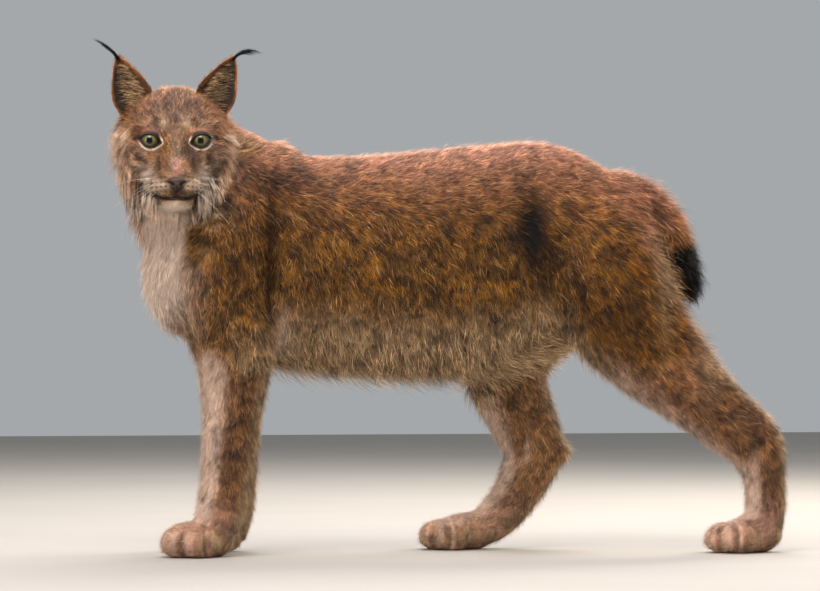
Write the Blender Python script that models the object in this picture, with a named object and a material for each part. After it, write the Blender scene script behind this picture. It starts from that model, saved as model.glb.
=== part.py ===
"""A Eurasian lynx as a still, life-size model, standing with its head turned to its left.

Metres, +Z up. The body faces -X, its left side faces -Y, and the paws stand on z = 0.
Every outline runs out to the tips of the coat. Each part is a closed solid in an object of its own.
"""

import math
import random

import bmesh
import bpy
import numpy as np
from mathutils import Matrix, Vector
from mathutils.bvhtree import BVHTree

# Driving sizes of a grown lynx, 0.60 m at the withers
GAP = 0.0003
FORE_TRACK = 0.076
HIND_TRACK = 0.084
HEAD_AT = (-0.413, -0.100, 0.613)
HEAD_TURN = 174.5
EYE_OUT = 0.0375
EYE_RADIUS = 0.0155
EAR_WIDTH = 0.062
EAR_DEPTH = 0.019
RUFF_REACH = 0.101
RUFF_LOCKS = 8
LEFT, RIGHT = -1, 1

# Voxel, rounds of smoothing and triangles of each skin that is run together
TRUNK_SKIN = {"cell": 0.007, "relax": 10, "triangles": 3800}
HEAD_SKIN = {"cell": 0.003, "relax": 5, "triangles": 2300}
PAW_SKIN = {"cell": 0.0045, "relax": 3, "triangles": 450}
NOSE_SKIN = {"cell": 0.0014, "relax": 3, "triangles": 240}

# Where the body is parted: heights, points on thin cuts with their ways, and outlines in x and z
ELBOW_HEIGHT = 0.295
WRIST_HEIGHT = 0.075
LEG_STEPS, KNEE, ANKLE = 40, 16, 34
NAPE_AT, NAPE_WAY = (-0.315, 0.035, 0.645), (-0.508, -0.514, 0.691)
COLLAR_AT, COLLAR_WAY = (-0.335, 0.0, 0.500), (-0.67, 0.0, 0.745)
TAIL_TIP_AT, TAIL_TIP_WAY = (0.364, 0.0, 0.468), (0.36, 0.0, -0.93)
DOCK_AT, DOCK_WAY = (0.318, 0.0, 0.500), (-0.075, 0.0, 0.057)
TAIL_CELL_HALF = 0.070
TAIL_CELL = ((0.318, 0.500), (0.375, 0.575), (0.450, 0.575), (0.450, 0.400), (0.360, 0.400), (0.332, 0.470))
CELL_INNER, CELL_OUTER = 0.024, 0.250
SHOULDER_CELL = (
    (-0.245, 0.200),
    (-0.250, 0.400),
    (-0.262, 0.505),
    (-0.305, 0.550),
    (-0.355, 0.505),
    (-0.400, 0.420),
    (-0.402, 0.200),
)
THIGH_CELL_LEFT = (
    (0.150, 0.120),
    (0.152, 0.320),
    (0.165, 0.400),
    (0.190, 0.480),
    (0.235, 0.535),
    (0.285, 0.530),
    (0.345, 0.480),
    (0.520, 0.300),
    (0.520, 0.120),
)
THIGH_CELL_RIGHT = (
    (0.020, 0.120),
    (0.020, 0.330),
    (0.100, 0.420),
    (0.170, 0.500),
    (0.230, 0.530),
    (0.285, 0.530),
    (0.340, 0.470),
    (0.300, 0.330),
    (0.290, 0.120),
)
# Paws: x, y of the palm and the way they point, in degrees from +X
FOREPAWS = {LEFT: (-0.368, -FORE_TRACK, 210), RIGHT: (-0.335, FORE_TRACK, 175)}
HINDPAWS = {LEFT: (0.455, -HIND_TRACK, 192), RIGHT: (0.050, HIND_TRACK, 192)}
PALM_AT, PALM_RADII = (0.0, -0.006, 0.026), (0.0378, 0.050, 0.031)
TOES_AT = ((-0.033, 0.026, 0.0211), (-0.011, 0.040, 0.0211), (0.011, 0.040, 0.0211), (0.033, 0.026, 0.0211))
TOE_RADII = (0.0158, 0.030, 0.0254)

# Colours as seen in daylight: linear red, green and blue
FUR_RUST = (0.30, 0.15, 0.075)
FUR_SAND = (0.36, 0.22, 0.12)
FUR_PALE = (0.50, 0.38, 0.29)
FUR_GREY = (0.31, 0.22, 0.16)
FUR_BLACK = (0.012, 0.010, 0.010)
NOSE_BROWN = (0.10, 0.045, 0.04)
EYE_GREEN = (0.30, 0.32, 0.12)

# Skull from back to front: y, middle z, half of the height, half of the width
SKULL = (
    (-0.104, 0.010, 0.050, 0.048),
    (-0.078, 0.006, 0.070, 0.066),
    (-0.048, -0.001, 0.080, 0.074),
    (-0.024, -0.009, 0.075, 0.072),
    (-0.006, -0.021, 0.062, 0.064),
    (0.006, -0.038, 0.050, 0.051),
    (0.017, -0.055, 0.039, 0.039),
    (0.030, -0.067, 0.027, 0.030),
)
# Bridge of the nose: x, y, z, half of the depth, half of the width
BRIDGE = (
    (0.0, -0.016, 0.030, 0.018, 0.021),
    (0.0, 0.004, 0.006, 0.016, 0.0165),
    (0.0, 0.022, -0.022, 0.015, 0.0150),
    (0.0, 0.040, -0.050, 0.014, 0.0160),
)
# Forms of the face, as middles and radii: those in the middle, and those on both sides with x outwards
FACE_MIDDLE = {
    "muzzle": ((0.0, 0.026, -0.058), (0.029, 0.029, 0.024)),
    "chin": ((0.0, 0.020, -0.089), (0.026, 0.028, 0.0125)),
}
FACE_SIDES = {
    "cheek": ((0.048, -0.034, -0.036), (0.033, 0.042, 0.044)),
    "pad": ((0.018, 0.031, -0.0705), (0.020, 0.023, 0.0145)),
    "brow": ((0.034, -0.008, 0.013), (0.023, 0.020, 0.012)),
    "lid": ((EYE_OUT, 0.0, 0.0), (0.019, 0.019, 0.019)),
    "under_eye": ((0.038, -0.004, -0.018), (0.022, 0.019, 0.014)),
    "muzzle_side": ((0.024, 0.008, -0.036), (0.022, 0.024, 0.024)),
    "ear_root": ((0.050, -0.066, 0.028), (0.031, 0.015, 0.031)),
    "temple": ((0.050, -0.050, 0.000), (0.031, 0.028, 0.042)),
}
NOSE_FORMS = {
    "top": ((0.0, 0.0540, -0.0600), (0.0150, 0.0095, 0.0058)),
    "tip": ((0.0, 0.0545, -0.0660), (0.0105, 0.0095, 0.0076)),
    "root": ((0.0, 0.0520, -0.0735), (0.0050, 0.0080, 0.0055)),
}
NOSTRIL_AT, NOSTRIL_RADII = (0.0078, 0.0640, -0.0645), (0.0028, 0.0050, 0.0021)
# Opening between the lids, and its slant in degrees
OPENING_AT, OPENING_RADII, OPENING_SLANT = (EYE_OUT, 0.016, 0.0), (0.0170, 0.0125, 0.0118), 14
# Grooves on the front of the face, in x and z, and their radii
MOUTH = (
    (-0.037, -0.0750),
    (-0.031, -0.0815),
    (-0.020, -0.0855),
    (-0.008, -0.0850),
    (0.000, -0.0825),
    (0.008, -0.0850),
    (0.020, -0.0855),
    (0.031, -0.0815),
    (0.037, -0.0750),
)
MOUTH_RADIUS = 0.0019
PHILTRUM = ((0.0, -0.0755), (0.0, -0.0825))
PHILTRUM_RADIUS = 0.0014

# Ears: share of the height and of the width, roots, and the way they open
EAR_PROFILE = (
    (0.00, 0.66),
    (0.15, 0.87),
    (0.35, 1.00),
    (0.50, 0.93),
    (0.64, 0.74),
    (0.83, 0.44),
    (0.94, 0.20),
    (1.00, 0.06),
)
EAR_ROOTS = {LEFT: (-0.0460, -0.052, 0.034), RIGHT: (0.0500, -0.052, 0.033)}
EAR_OPENS = 0.25
EAR_ROWS, EAR_COLUMNS = 8, 7
EAR_THICK, EAR_THIN, EAR_EDGE = 0.0056, 0.0030, 0.0008
# Ear tufts: where the tip of the ear is, how far the tuft reaches out and up, and how it bows
EAR_TUFTS = {
    LEFT: ((-0.0875, -0.050, 0.1240), 0.048, 0.007, 0.0085),
    RIGHT: ((0.0835, -0.050, 0.1240), 0.042, 0.031, 0.0060),
}
TUFT_LOCKS, TUFT_STEP, TUFT_SINK = 4, 0.0015, 0.011
TUFT_WIDTH, TUFT_THICK = 0.0044, 0.0036

# Ruff: each row's depth at its top and its foot and its share of the reach, then where the rows centre,
# the angles where they start and end, and the sizes of a lock
RUFF_ROWS = ((-0.026, 0.020, 0.86), (-0.046, 0.000, 0.93), (-0.066, -0.018, 0.99))
RUFF_ASIDE, RUFF_DOWN = -0.0085, -0.030
RUFF_TOP, RUFF_FOOT = 36, -90
RUFF_SINK, RUFF_BOW, RUFF_THICK = 0.011, 0.010, 0.0065
RUFF_WIDTHS = (0.014, 0.019)
# A lock's sections from root to tip: share of the length and of the width
LOCK_SECTIONS = ((0.0, 0.85), (0.34, 1.0), (0.72, 0.58))

# Trunk and limbs: x, y, z of the middle, half of the depth seen from the side, half of the width
TORSO = (
    (-0.367, 0.0, 0.430, 0.116, 0.084),
    (-0.330, 0.0, 0.430, 0.134, 0.098),
    (-0.250, 0.0, 0.437, 0.160, 0.106),
    (-0.170, 0.0, 0.432, 0.163, 0.111),
    (-0.085, 0.0, 0.430, 0.170, 0.112),
    (0.000, 0.0, 0.432, 0.174, 0.110),
    (0.085, 0.0, 0.443, 0.169, 0.103),
    (0.165, 0.0, 0.463, 0.150, 0.096),
    (0.225, 0.0, 0.474, 0.124, 0.090),
    (0.262, 0.0, 0.479, 0.098, 0.070),
)
NECK = (
    (-0.200, 0.000, 0.430, 0.130, 0.098),
    (-0.285, 0.000, 0.482, 0.140, 0.098),
    (-0.345, 0.002, 0.534, 0.129, 0.092),
    (-0.374, 0.004, 0.583, 0.104, 0.082),
    (-0.390, 0.000, 0.624, 0.076, 0.066),
)
TAIL = (
    (0.255, 0.0, 0.540, 0.036, 0.036),
    (0.288, 0.0, 0.543, 0.033, 0.033),
    (0.325, 0.0, 0.523, 0.026, 0.027),
    (0.354, 0.0, 0.490, 0.024, 0.025),
    (0.370, 0.0, 0.452, 0.024, 0.025),
    (0.380, 0.0, 0.417, 0.023, 0.024),
    (0.386, 0.0, 0.392, 0.017, 0.018),
)
FORELEG_LEFT = (
    (-0.285, -0.070, 0.500, 0.060, 0.040),
    (-0.335, -0.078, 0.420, 0.068, 0.046),
    (-0.318, -FORE_TRACK, 0.335, 0.060, 0.045),
    (-0.318, -FORE_TRACK, 0.280, 0.053, 0.042),
    (-0.324, -FORE_TRACK, 0.220, 0.045, 0.038),
    (-0.332, -FORE_TRACK, 0.150, 0.041, 0.036),
    (-0.338, -FORE_TRACK, 0.095, 0.038, 0.035),
    (-0.347, -FORE_TRACK, 0.052, 0.038, 0.036),
    (-0.352, -FORE_TRACK, 0.030, 0.032, 0.032),
)
FORELEG_RIGHT = (
    (-0.280, 0.070, 0.500, 0.060, 0.040),
    (-0.330, 0.078, 0.420, 0.068, 0.046),
    (-0.318, FORE_TRACK, 0.335, 0.058, 0.045),
    (-0.308, FORE_TRACK, 0.280, 0.052, 0.042),
    (-0.306, FORE_TRACK, 0.220, 0.046, 0.038),
    (-0.305, FORE_TRACK, 0.150, 0.042, 0.036),
    (-0.306, FORE_TRACK, 0.095, 0.039, 0.035),
    (-0.309, FORE_TRACK, 0.052, 0.038, 0.036),
    (-0.314, FORE_TRACK, 0.030, 0.032, 0.032),
)
HINDLEG_LEFT = (
    (0.220, -0.052, 0.500, 0.062, 0.040),
    (0.238, -0.066, 0.430, 0.096, 0.050),
    (0.262, -0.074, 0.362, 0.094, 0.052),
    (0.308, -0.080, 0.300, 0.078, 0.047),
    (0.366, -0.084, 0.246, 0.061, 0.040),
    (0.420, -HIND_TRACK, 0.200, 0.051, 0.033),
    (0.466, -HIND_TRACK, 0.160, 0.046, 0.030),
    (0.480, -HIND_TRACK, 0.105, 0.033, 0.029),
    (0.481, -HIND_TRACK, 0.055, 0.032, 0.030),
    (0.479, -HIND_TRACK, 0.028, 0.028, 0.030),
)
HINDLEG_RIGHT = (
    (0.240, 0.052, 0.490, 0.062, 0.040),
    (0.190, 0.066, 0.420, 0.092, 0.050),
    (0.139, 0.076, 0.350, 0.088, 0.052),
    (0.117, 0.080, 0.290, 0.075, 0.046),
    (0.124, HIND_TRACK, 0.240, 0.061, 0.040),
    (0.146, HIND_TRACK, 0.190, 0.054, 0.034),
    (0.160, HIND_TRACK, 0.142, 0.048, 0.030),
    (0.128, HIND_TRACK, 0.077, 0.037, 0.029),
    (0.096, HIND_TRACK, 0.042, 0.034, 0.030),
    (0.078, HIND_TRACK, 0.030, 0.027, 0.029),
)


def clear_scene():
    for obj in list(bpy.data.objects):
        bpy.data.objects.remove(obj)


def solid(name, points, faces):
    """A mesh object from points and faces, its normals pointing out."""
    mesh = bpy.data.meshes.new(name)
    mesh.from_pydata([tuple(p) for p in points], [], [tuple(f) for f in faces])
    bm = bmesh.new()
    bm.from_mesh(mesh)
    bmesh.ops.recalc_face_normals(bm, faces=bm.faces)
    bm.to_mesh(mesh)
    bm.free()
    obj = bpy.data.objects.new(name, mesh)
    bpy.context.scene.collection.objects.link(obj)
    return obj


def copy_of(obj):
    twin = obj.copy()
    twin.data = obj.data.copy()
    bpy.context.scene.collection.objects.link(twin)
    return twin


def applied(obj):
    """The object with its modifiers worked into its mesh."""
    bpy.context.view_layer.update()
    graph = bpy.context.evaluated_depsgraph_get()
    mesh = bpy.data.meshes.new_from_object(obj.evaluated_get(graph))
    obj.modifiers.clear()
    obj.data = mesh
    return obj


def joined(name, objects):
    """One object holding the meshes of several, which are removed."""
    bm = bmesh.new()
    for obj in objects:
        mesh = obj.data.copy()
        mesh.transform(obj.matrix_world)
        bm.from_mesh(mesh)
        bpy.data.objects.remove(obj)
    mesh = bpy.data.meshes.new(name)
    bm.to_mesh(mesh)
    bm.free()
    obj = bpy.data.objects.new(name, mesh)
    bpy.context.scene.collection.objects.link(obj)
    return obj


def spread(stations, count):
    """Rows evenly spread along a Catmull-Rom curve through the stations."""
    rows = np.array(stations, float)
    rows = np.vstack([2 * rows[0] - rows[1], rows, 2 * rows[-1] - rows[-2]])
    at = np.linspace(0, len(stations) - 1 - 1e-9, count)
    k = at.astype(int)
    t = (at - k)[:, None]
    a, b, c, d = rows[k], rows[k + 1], rows[k + 2], rows[k + 3]
    bend = (2 * a - 5 * b + 4 * c - d) * t**2 + (3 * b - a - 3 * c + d) * t**3
    return 0.5 * (2 * b + (c - a) * t + bend)


def tube(name, stations, rings, sides, across=(0, 1, 0), facing=None):
    """A closed tube of oval rings along the stations, square to its line or to facing, with rounded ends."""
    rows = spread(stations, rings)
    middles, radii = rows[:, :3], rows[:, 3:5]
    ways = np.gradient(middles, axis=0) if facing is None else np.tile(facing, (rings, 1)).astype(float)
    ways /= np.linalg.norm(ways, axis=1)[:, None]
    caps = [(math.cos(a), math.sin(a)) for a in (math.radians(35), math.radians(65))]
    first = [(middles[0] - ways[0] * radii[0].min() * s, ways[0], radii[0] * c) for c, s in reversed(caps)]
    last = [(middles[-1] + ways[-1] * radii[-1].min() * s, ways[-1], radii[-1] * c) for c, s in caps]
    every = first + list(zip(middles, ways, radii)) + last
    turn = np.linspace(0, 2 * math.pi, sides, endpoint=False)
    points = []
    for middle, way, (depth, width) in every:
        out = np.array(across, float) - way * np.dot(across, way)
        out /= np.linalg.norm(out)
        up = np.cross(way, out)
        points += [middle + up * depth * math.cos(a) + out * width * math.sin(a) for a in turn]
    points += [middles[0] - ways[0] * radii[0].min(), middles[-1] + ways[-1] * radii[-1].min()]
    faces = []
    for ring in range(len(every) - 1):
        for k in range(sides):
            here, there = ring * sides + k, ring * sides + (k + 1) % sides
            faces.append((here, there, there + sides, here + sides))
    start, end = len(points) - 2, len(points) - 1
    rim = (len(every) - 1) * sides
    for k in range(sides):
        faces.append((start, (k + 1) % sides, k))
        faces.append((end, rim + k, rim + (k + 1) % sides))
    return solid(name, points, faces)


def ball(name, middle, radii, frame=None, detail=3):
    """An ellipsoid with its radii along the axes of frame."""
    mesh = bpy.data.meshes.new(name)
    bm = bmesh.new()
    bmesh.ops.create_icosphere(bm, subdivisions=detail, radius=1)
    bm.to_mesh(mesh)
    bm.free()
    shape = Matrix.Translation(middle) @ Matrix.Diagonal((*radii, 1))
    mesh.transform((frame or Matrix.Identity(4)) @ shape)
    obj = bpy.data.objects.new(name, mesh)
    bpy.context.scene.collection.objects.link(obj)
    return obj


def prism(name, outline, near, far):
    """A block with an outline in X and Z, reaching from Y near to Y far."""
    count = len(outline)
    points = [(x, near, z) for x, z in outline] + [(x, far, z) for x, z in outline]
    faces = [tuple(range(count)), tuple(reversed(range(count, 2 * count)))]
    for k in range(count):
        after = (k + 1) % count
        faces.append((k, after, count + after, count + k))
    return solid(name, points, faces)


def fused(name, pieces, cell, relax, triangles):
    """The pieces run together into one smooth skin of about that many triangles."""
    obj = joined(name, pieces)
    remesh = obj.modifiers.new("skin", "REMESH")
    remesh.mode = "VOXEL"
    remesh.voxel_size = cell
    smooth = obj.modifiers.new("relax", "SMOOTH")
    smooth.factor = 0.5
    smooth.iterations = relax
    applied(obj)
    obj.data.calc_loop_triangles()
    thin = obj.modifiers.new("thin", "DECIMATE")
    thin.ratio = min(1.0, triangles / len(obj.data.loop_triangles))
    return applied(obj)


def boolean(obj, others, operation, solver="EXACT"):
    """Applies one Boolean between obj and the others, which are removed."""
    group = bpy.data.collections.new("operands")
    for other in others:
        group.objects.link(other)
    step = obj.modifiers.new("boolean", "BOOLEAN")
    step.operation = operation
    step.solver = solver
    if len(others) == 1:
        step.object = others[0]
    else:
        step.operand_type = "COLLECTION"
        step.collection = group
    applied(obj)
    for other in others:
        bpy.data.objects.remove(other)
    bpy.data.collections.remove(group)
    return obj


def sliced(obj, point, normal):
    """Keeps what lies behind the plane, capped flat half a gap short of it."""
    normal = Vector(normal).normalized()
    bm = bmesh.new()
    bm.from_mesh(obj.data)
    bmesh.ops.bisect_plane(
        bm,
        geom=bm.verts[:] + bm.edges[:] + bm.faces[:],
        dist=1e-7,
        plane_co=Vector(point) - normal * GAP / 2,
        plane_no=normal,
        clear_outer=True,
    )
    bmesh.ops.holes_fill(bm, edges=bm.edges[:], sides=0)
    bmesh.ops.triangulate(bm, faces=bm.faces[:])
    bmesh.ops.recalc_face_normals(bm, faces=bm.faces[:])
    bm.to_mesh(obj.data)
    bm.free()
    return largest(obj)


def largest(obj):
    """Keeps only the biggest closed surface of the mesh."""
    bm = bmesh.new()
    bm.from_mesh(obj.data)
    left = set(bm.verts)
    groups = []
    while left:
        seed = left.pop()
        group, edge = {seed}, [seed]
        while edge:
            for link in edge.pop().link_edges:
                for vert in link.verts:
                    if vert in left:
                        left.remove(vert)
                        group.add(vert)
                        edge.append(vert)
        groups.append(group)
    groups.sort(key=box_volume, reverse=True)
    for group in groups[1:]:
        bmesh.ops.delete(bm, geom=list(group), context="VERTS")
    bm.to_mesh(obj.data)
    bm.free()
    return obj


def box_volume(verts):
    """The volume of the box round some vertices."""
    places = np.array([v.co for v in verts])
    return float(np.prod(places.max(0) - places.min(0)))


def grown(obj, by=GAP):
    """A copy of a solid, swollen outwards."""
    twin = copy_of(obj)
    swell = twin.modifiers.new("swell", "DISPLACE")
    swell.strength = by
    swell.mid_level = 0
    return applied(twin)


def taken_out(obj, region, name):
    """Splits obj: the new node is what lies in the region, and obj loses it and the gap round it."""
    piece = copy_of(obj)
    piece.name = name
    boolean(piece, [copy_of(region)], "INTERSECT")
    boolean(obj, [grown(region)], "DIFFERENCE")
    bpy.data.objects.remove(region)
    largest(obj)
    return largest(piece)


def finished(obj, name, colour, roughness=0.9):
    """Names a node, gives it its own material and smooth shading."""
    obj.name = name
    obj.data.name = name
    material = bpy.data.materials.new(name)
    material.use_nodes = True
    shader = material.node_tree.nodes["Principled BSDF"]
    shader.inputs["Base Color"].default_value = (*colour, 1)
    shader.inputs["Roughness"].default_value = roughness
    shader.inputs["Metallic"].default_value = 0
    material.diffuse_color = (*colour, 1)
    obj.data.materials.clear()
    obj.data.materials.append(material)
    obj.data.shade_smooth()
    obj.data.set_sharp_from_angle(angle=math.radians(50))
    return obj


def trunk():
    """Torso, neck, rump and the roots of the limbs as one skin."""
    pieces = [
        tube("barrel", TORSO, 26, 28),
        tube("neck_column", NECK, 12, 24),
        tube("tail_root", TAIL[:4], 8, 14),
        tube("fore_left", FORELEG_LEFT[:5], 12, 18),
        tube("fore_right", FORELEG_RIGHT[:5], 12, 18),
        tube("hind_left", HINDLEG_LEFT[:6], 14, 20),
        tube("hind_right", HINDLEG_RIGHT[:6], 14, 20),
    ]
    return fused("torso", pieces, **TRUNK_SKIN)


def paw(name, leg, stance):
    """A broad furred foot: a palm, four toes and the end of the leg, cut flat where it stands."""
    x, y, heading = stance
    frame = Matrix.Translation((x, y, 0)) @ Matrix.Rotation(math.radians(heading - 90), 4, "Z")
    pieces = [leg, ball("palm", PALM_AT, PALM_RADII, frame)]
    pieces += [ball("toe", toe_at, TOE_RADII, frame) for toe_at in TOES_AT]
    return sliced(fused(name, pieces, **PAW_SKIN), (0, 0, -GAP / 2), (0, 0, -1))


def head_frame():
    """The head's own axes: +X to the animal's right, +Y the way it looks, between the eyes."""
    return Matrix.Translation(HEAD_AT) @ Matrix.Rotation(math.radians(HEAD_TURN), 4, "Z")


def head_core(frame):
    """Skull, muzzle, cheeks and lids as one skin."""
    skull = tube("skull", [(0.0, *row) for row in SKULL], 16, 28, (1, 0, 0), (0, 1, 0))
    skull.data.transform(frame)
    bridge = tube("bridge", BRIDGE, 8, 12, (1, 0, 0))
    bridge.data.transform(frame)
    pieces = [skull, bridge, tube("neck_column", NECK, 12, 24)]
    pieces += [ball(name, middle, radii, frame) for name, (middle, radii) in FACE_MIDDLE.items()]
    for side in (LEFT, RIGHT):
        for name, ((x, y, z), radii) in FACE_SIDES.items():
            pieces.append(ball(name, (side * x, y, z), radii, frame))
    return fused("head", pieces, **HEAD_SKIN)


def as_bmesh(obj):
    bm = bmesh.new()
    bm.from_mesh(obj.data)
    return bm


def groove(name, head, frame, path, radius):
    """A thin cutter along a path of x and z, laid on the front of the head."""
    tree = BVHTree.FromBMesh(as_bmesh(head))
    forward = frame.to_3x3() @ Vector((0, 1, 0))
    stations = []
    for x, z in path:
        start = frame @ Vector((x + GAP, 0.2, z))
        stations.append((*tree.ray_cast(start, -forward)[0], radius, radius))
    return tube(name, stations, 3 * len(path), 8, (0.2, 0.1, 1))


def lock(name, root, tip, bow, width, thick, face):
    """A flat, tapered lock on a curve from root to tip that bows out halfway, its flat side to face."""
    points, faces = [], []
    for t, size in LOCK_SECTIONS:
        middle = root.lerp(tip, t) + bow * 4 * t * (1 - t)
        run = (tip - root + bow * 4 * (1 - 2 * t)).normalized()
        flat = (face - run * run.dot(face)).normalized()
        side = run.cross(flat)
        for way, size_across in ((side, width), (flat, thick), (-side, width), (-flat, thick)):
            points.append(middle + way * size_across / 2 * size)
    points.append(tip)
    last = len(LOCK_SECTIONS) - 1
    for ring in range(last):
        for k in range(4):
            a, b = ring * 4 + k, ring * 4 + (k + 1) % 4
            faces.append((a, b, b + 4, a + 4))
    faces.append((3, 2, 1, 0))
    faces += [(last * 4 + k, last * 4 + (k + 1) % 4, len(points) - 1) for k in range(4)]
    return triangulated(solid(name, points, faces))


def triangulated(obj):
    bm = as_bmesh(obj)
    bmesh.ops.triangulate(bm, faces=bm.faces[:])
    bm.to_mesh(obj.data)
    bm.free()
    return obj


def ruff(head, frame):
    """Locks fanned out from the cheeks and jaw in rows, each bending down and back."""
    tree = BVHTree.FromBMesh(as_bmesh(head))
    chance = random.Random(11)
    locks = []
    for side in (LEFT, RIGHT):
        for row, (front, back, row_share) in enumerate(RUFF_ROWS):
            for k in range(RUFF_LOCKS):
                share = (k + 0.5 * (row % 2)) / (RUFF_LOCKS - 0.5)
                angle = math.radians(RUFF_TOP + (RUFF_FOOT - RUFF_TOP) * share + chance.uniform(-2, 2))
                out = Vector((side * math.cos(angle), 0, math.sin(angle)))
                middle = Vector((RUFF_ASIDE, front + (back - front) * share, RUFF_DOWN))
                hit = tree.ray_cast(frame @ (middle + out * 0.2), frame.to_3x3() @ -out)[0]
                root = frame.inverted() @ hit - out * RUFF_SINK
                fall = angle - math.radians(24 * math.cos(angle) + chance.uniform(2, 8))
                reach = (RUFF_REACH + 0.012 * share + chance.uniform(-0.004, 0.003)) * row_share
                fan = Vector((side * math.cos(fall) * reach, -0.012 + 0.006 * row, math.sin(fall) * reach))
                bow = (out + Vector((0, 0.25, 0.15))) * RUFF_BOW
                flat = Vector((0.35 * side, 1, 0.2))
                piece = lock("lock", root, middle + fan, bow, chance.uniform(*RUFF_WIDTHS), RUFF_THICK, flat)
                piece.data.transform(frame)
                locks.append(piece)
    return locks


def ear_tuft(frame, side):
    """The long dark locks on the tip of an ear, overlapping and bent outwards."""
    chance = random.Random(5 + side)
    tip, reach, rise, bend = EAR_TUFTS[side]
    tip = Vector(tip)
    bow = Vector((-side * 0.3, 0, 1)) * bend
    locks = []
    for k in range(TUFT_LOCKS):
        off = (k - (TUFT_LOCKS - 1) / 2) * TUFT_STEP
        root = tip + Vector((off - side * 0.003, 0.001 * (k % 2) - TUFT_STEP, -TUFT_SINK))
        scale = 1 - 0.11 * abs(k - 1) + chance.uniform(-0.03, 0.03)
        end = tip + Vector((side * reach * scale, off - 0.004, rise * scale - off * side))
        piece = lock("tuft", root, end, bow, TUFT_WIDTH, TUFT_THICK, Vector((0, 1, 0)))
        piece.data.transform(frame)
        locks.append(piece)
    return locks


def ear_cup(frame, side):
    """A leaf-shaped cup, open to the front, from its root in the head to its tip."""
    root, tip = Vector(EAR_ROOTS[side]), Vector(EAR_TUFTS[side][0])
    up = (tip - root).normalized()
    across = up.cross(Vector((side * EAR_OPENS, 1, 0))).normalized()
    out = across.cross(up)
    front, back = [], []
    for t in np.linspace(0, 1, EAR_ROWS):
        half = EAR_WIDTH / 2 * float(np.interp(t, *zip(*EAR_PROFILE)))
        dip = EAR_DEPTH * (1 - t) ** 0.7 + EAR_EDGE
        thick = EAR_THICK + (EAR_THIN - EAR_THICK) * t
        for s in np.linspace(-1, 1, EAR_COLUMNS):
            middle = root.lerp(tip, t) + across * half * s - out * dip * (1 - s * s)
            front.append(middle)
            back.append(middle - out * thick * (1 - 0.5 * s * s))
    cup = solid("ear", front + back, shell_faces(EAR_ROWS, EAR_COLUMNS))
    cup.data.transform(frame)
    return triangulated(cup)


def shell_faces(rows, columns):
    """Faces of two grids, the second behind the first, closed round the rim."""
    n = rows * columns
    faces = []
    for i in range(rows - 1):
        for j in range(columns - 1):
            a = i * columns + j
            faces.append((a, a + 1, a + columns + 1, a + columns))
            faces.append((n + a, n + a + columns, n + a + columns + 1, n + a + 1))
    rim = list(range(columns))
    rim += [i * columns + columns - 1 for i in range(1, rows)]
    rim += [(rows - 1) * columns + j for j in reversed(range(columns - 1))]
    rim += [i * columns for i in reversed(range(1, rows - 1))]
    faces += [(a, n + a, n + b, b) for a, b in zip(rim, rim[1:] + rim[:1])]
    return faces


def centre_on_floor():
    """Moves every node so that the middle of the whole outline stands over the origin."""
    corners = np.array([v.co[:2] for obj in bpy.data.objects for v in obj.data.vertices])
    middle = (corners.min(0) + corners.max(0)) / 2
    for obj in bpy.data.objects:
        obj.data.transform(Matrix.Translation((-middle[0], -middle[1], 0)))


def reverse(way):
    return [-c for c in way]


def build_neck(body):
    neck = sliced(copy_of(body), COLLAR_AT, reverse(COLLAR_WAY))
    sliced(body, COLLAR_AT, COLLAR_WAY)
    return finished(sliced(neck, NAPE_AT, NAPE_WAY), "neck", FUR_SAND)


def build_tail(body):
    """The tail below its dock and its black tip; the trunk is cleared round them."""
    cell = prism("cell", TAIL_CELL, -TAIL_CELL_HALF, TAIL_CELL_HALF)
    boolean(body, [grown(cell)], "DIFFERENCE")
    bpy.data.objects.remove(cell)
    tail = sliced(tube("tail", TAIL, 16, 14), DOCK_AT, DOCK_WAY)
    tail_tip = sliced(copy_of(tail), TAIL_TIP_AT, reverse(TAIL_TIP_WAY))
    finished(tail_tip, "tail_tip", FUR_BLACK)
    sliced(tail, TAIL_TIP_AT, TAIL_TIP_WAY)
    finished(boolean(tail, [grown(body)], "DIFFERENCE"), "tail", FUR_RUST)


def build_forelimb(body, side, word):
    leg = FORELEG_LEFT if side == LEFT else FORELEG_RIGHT
    elbow_at, wrist_at = (0, 0, ELBOW_HEIGHT), (0, 0, WRIST_HEIGHT)
    down, up = (0, 0, -1), (0, 0, 1)
    cell = prism("cell", SHOULDER_CELL, side * CELL_INNER, side * CELL_OUTER)
    shoulder = sliced(taken_out(body, cell, "shoulder"), elbow_at, down)
    foreleg = sliced(sliced(tube("foreleg", leg, 20, 16), elbow_at, up), wrist_at, down)
    forepaw = sliced(paw("forepaw", tube("wrist", leg[5:], 10, 18), FOREPAWS[side]), wrist_at, up)
    finished(shoulder, f"shoulder_{word}", FUR_SAND)
    finished(foreleg, f"foreleg_{word}", FUR_SAND)
    finished(forepaw, f"forepaw_{word}", FUR_PALE)


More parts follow.
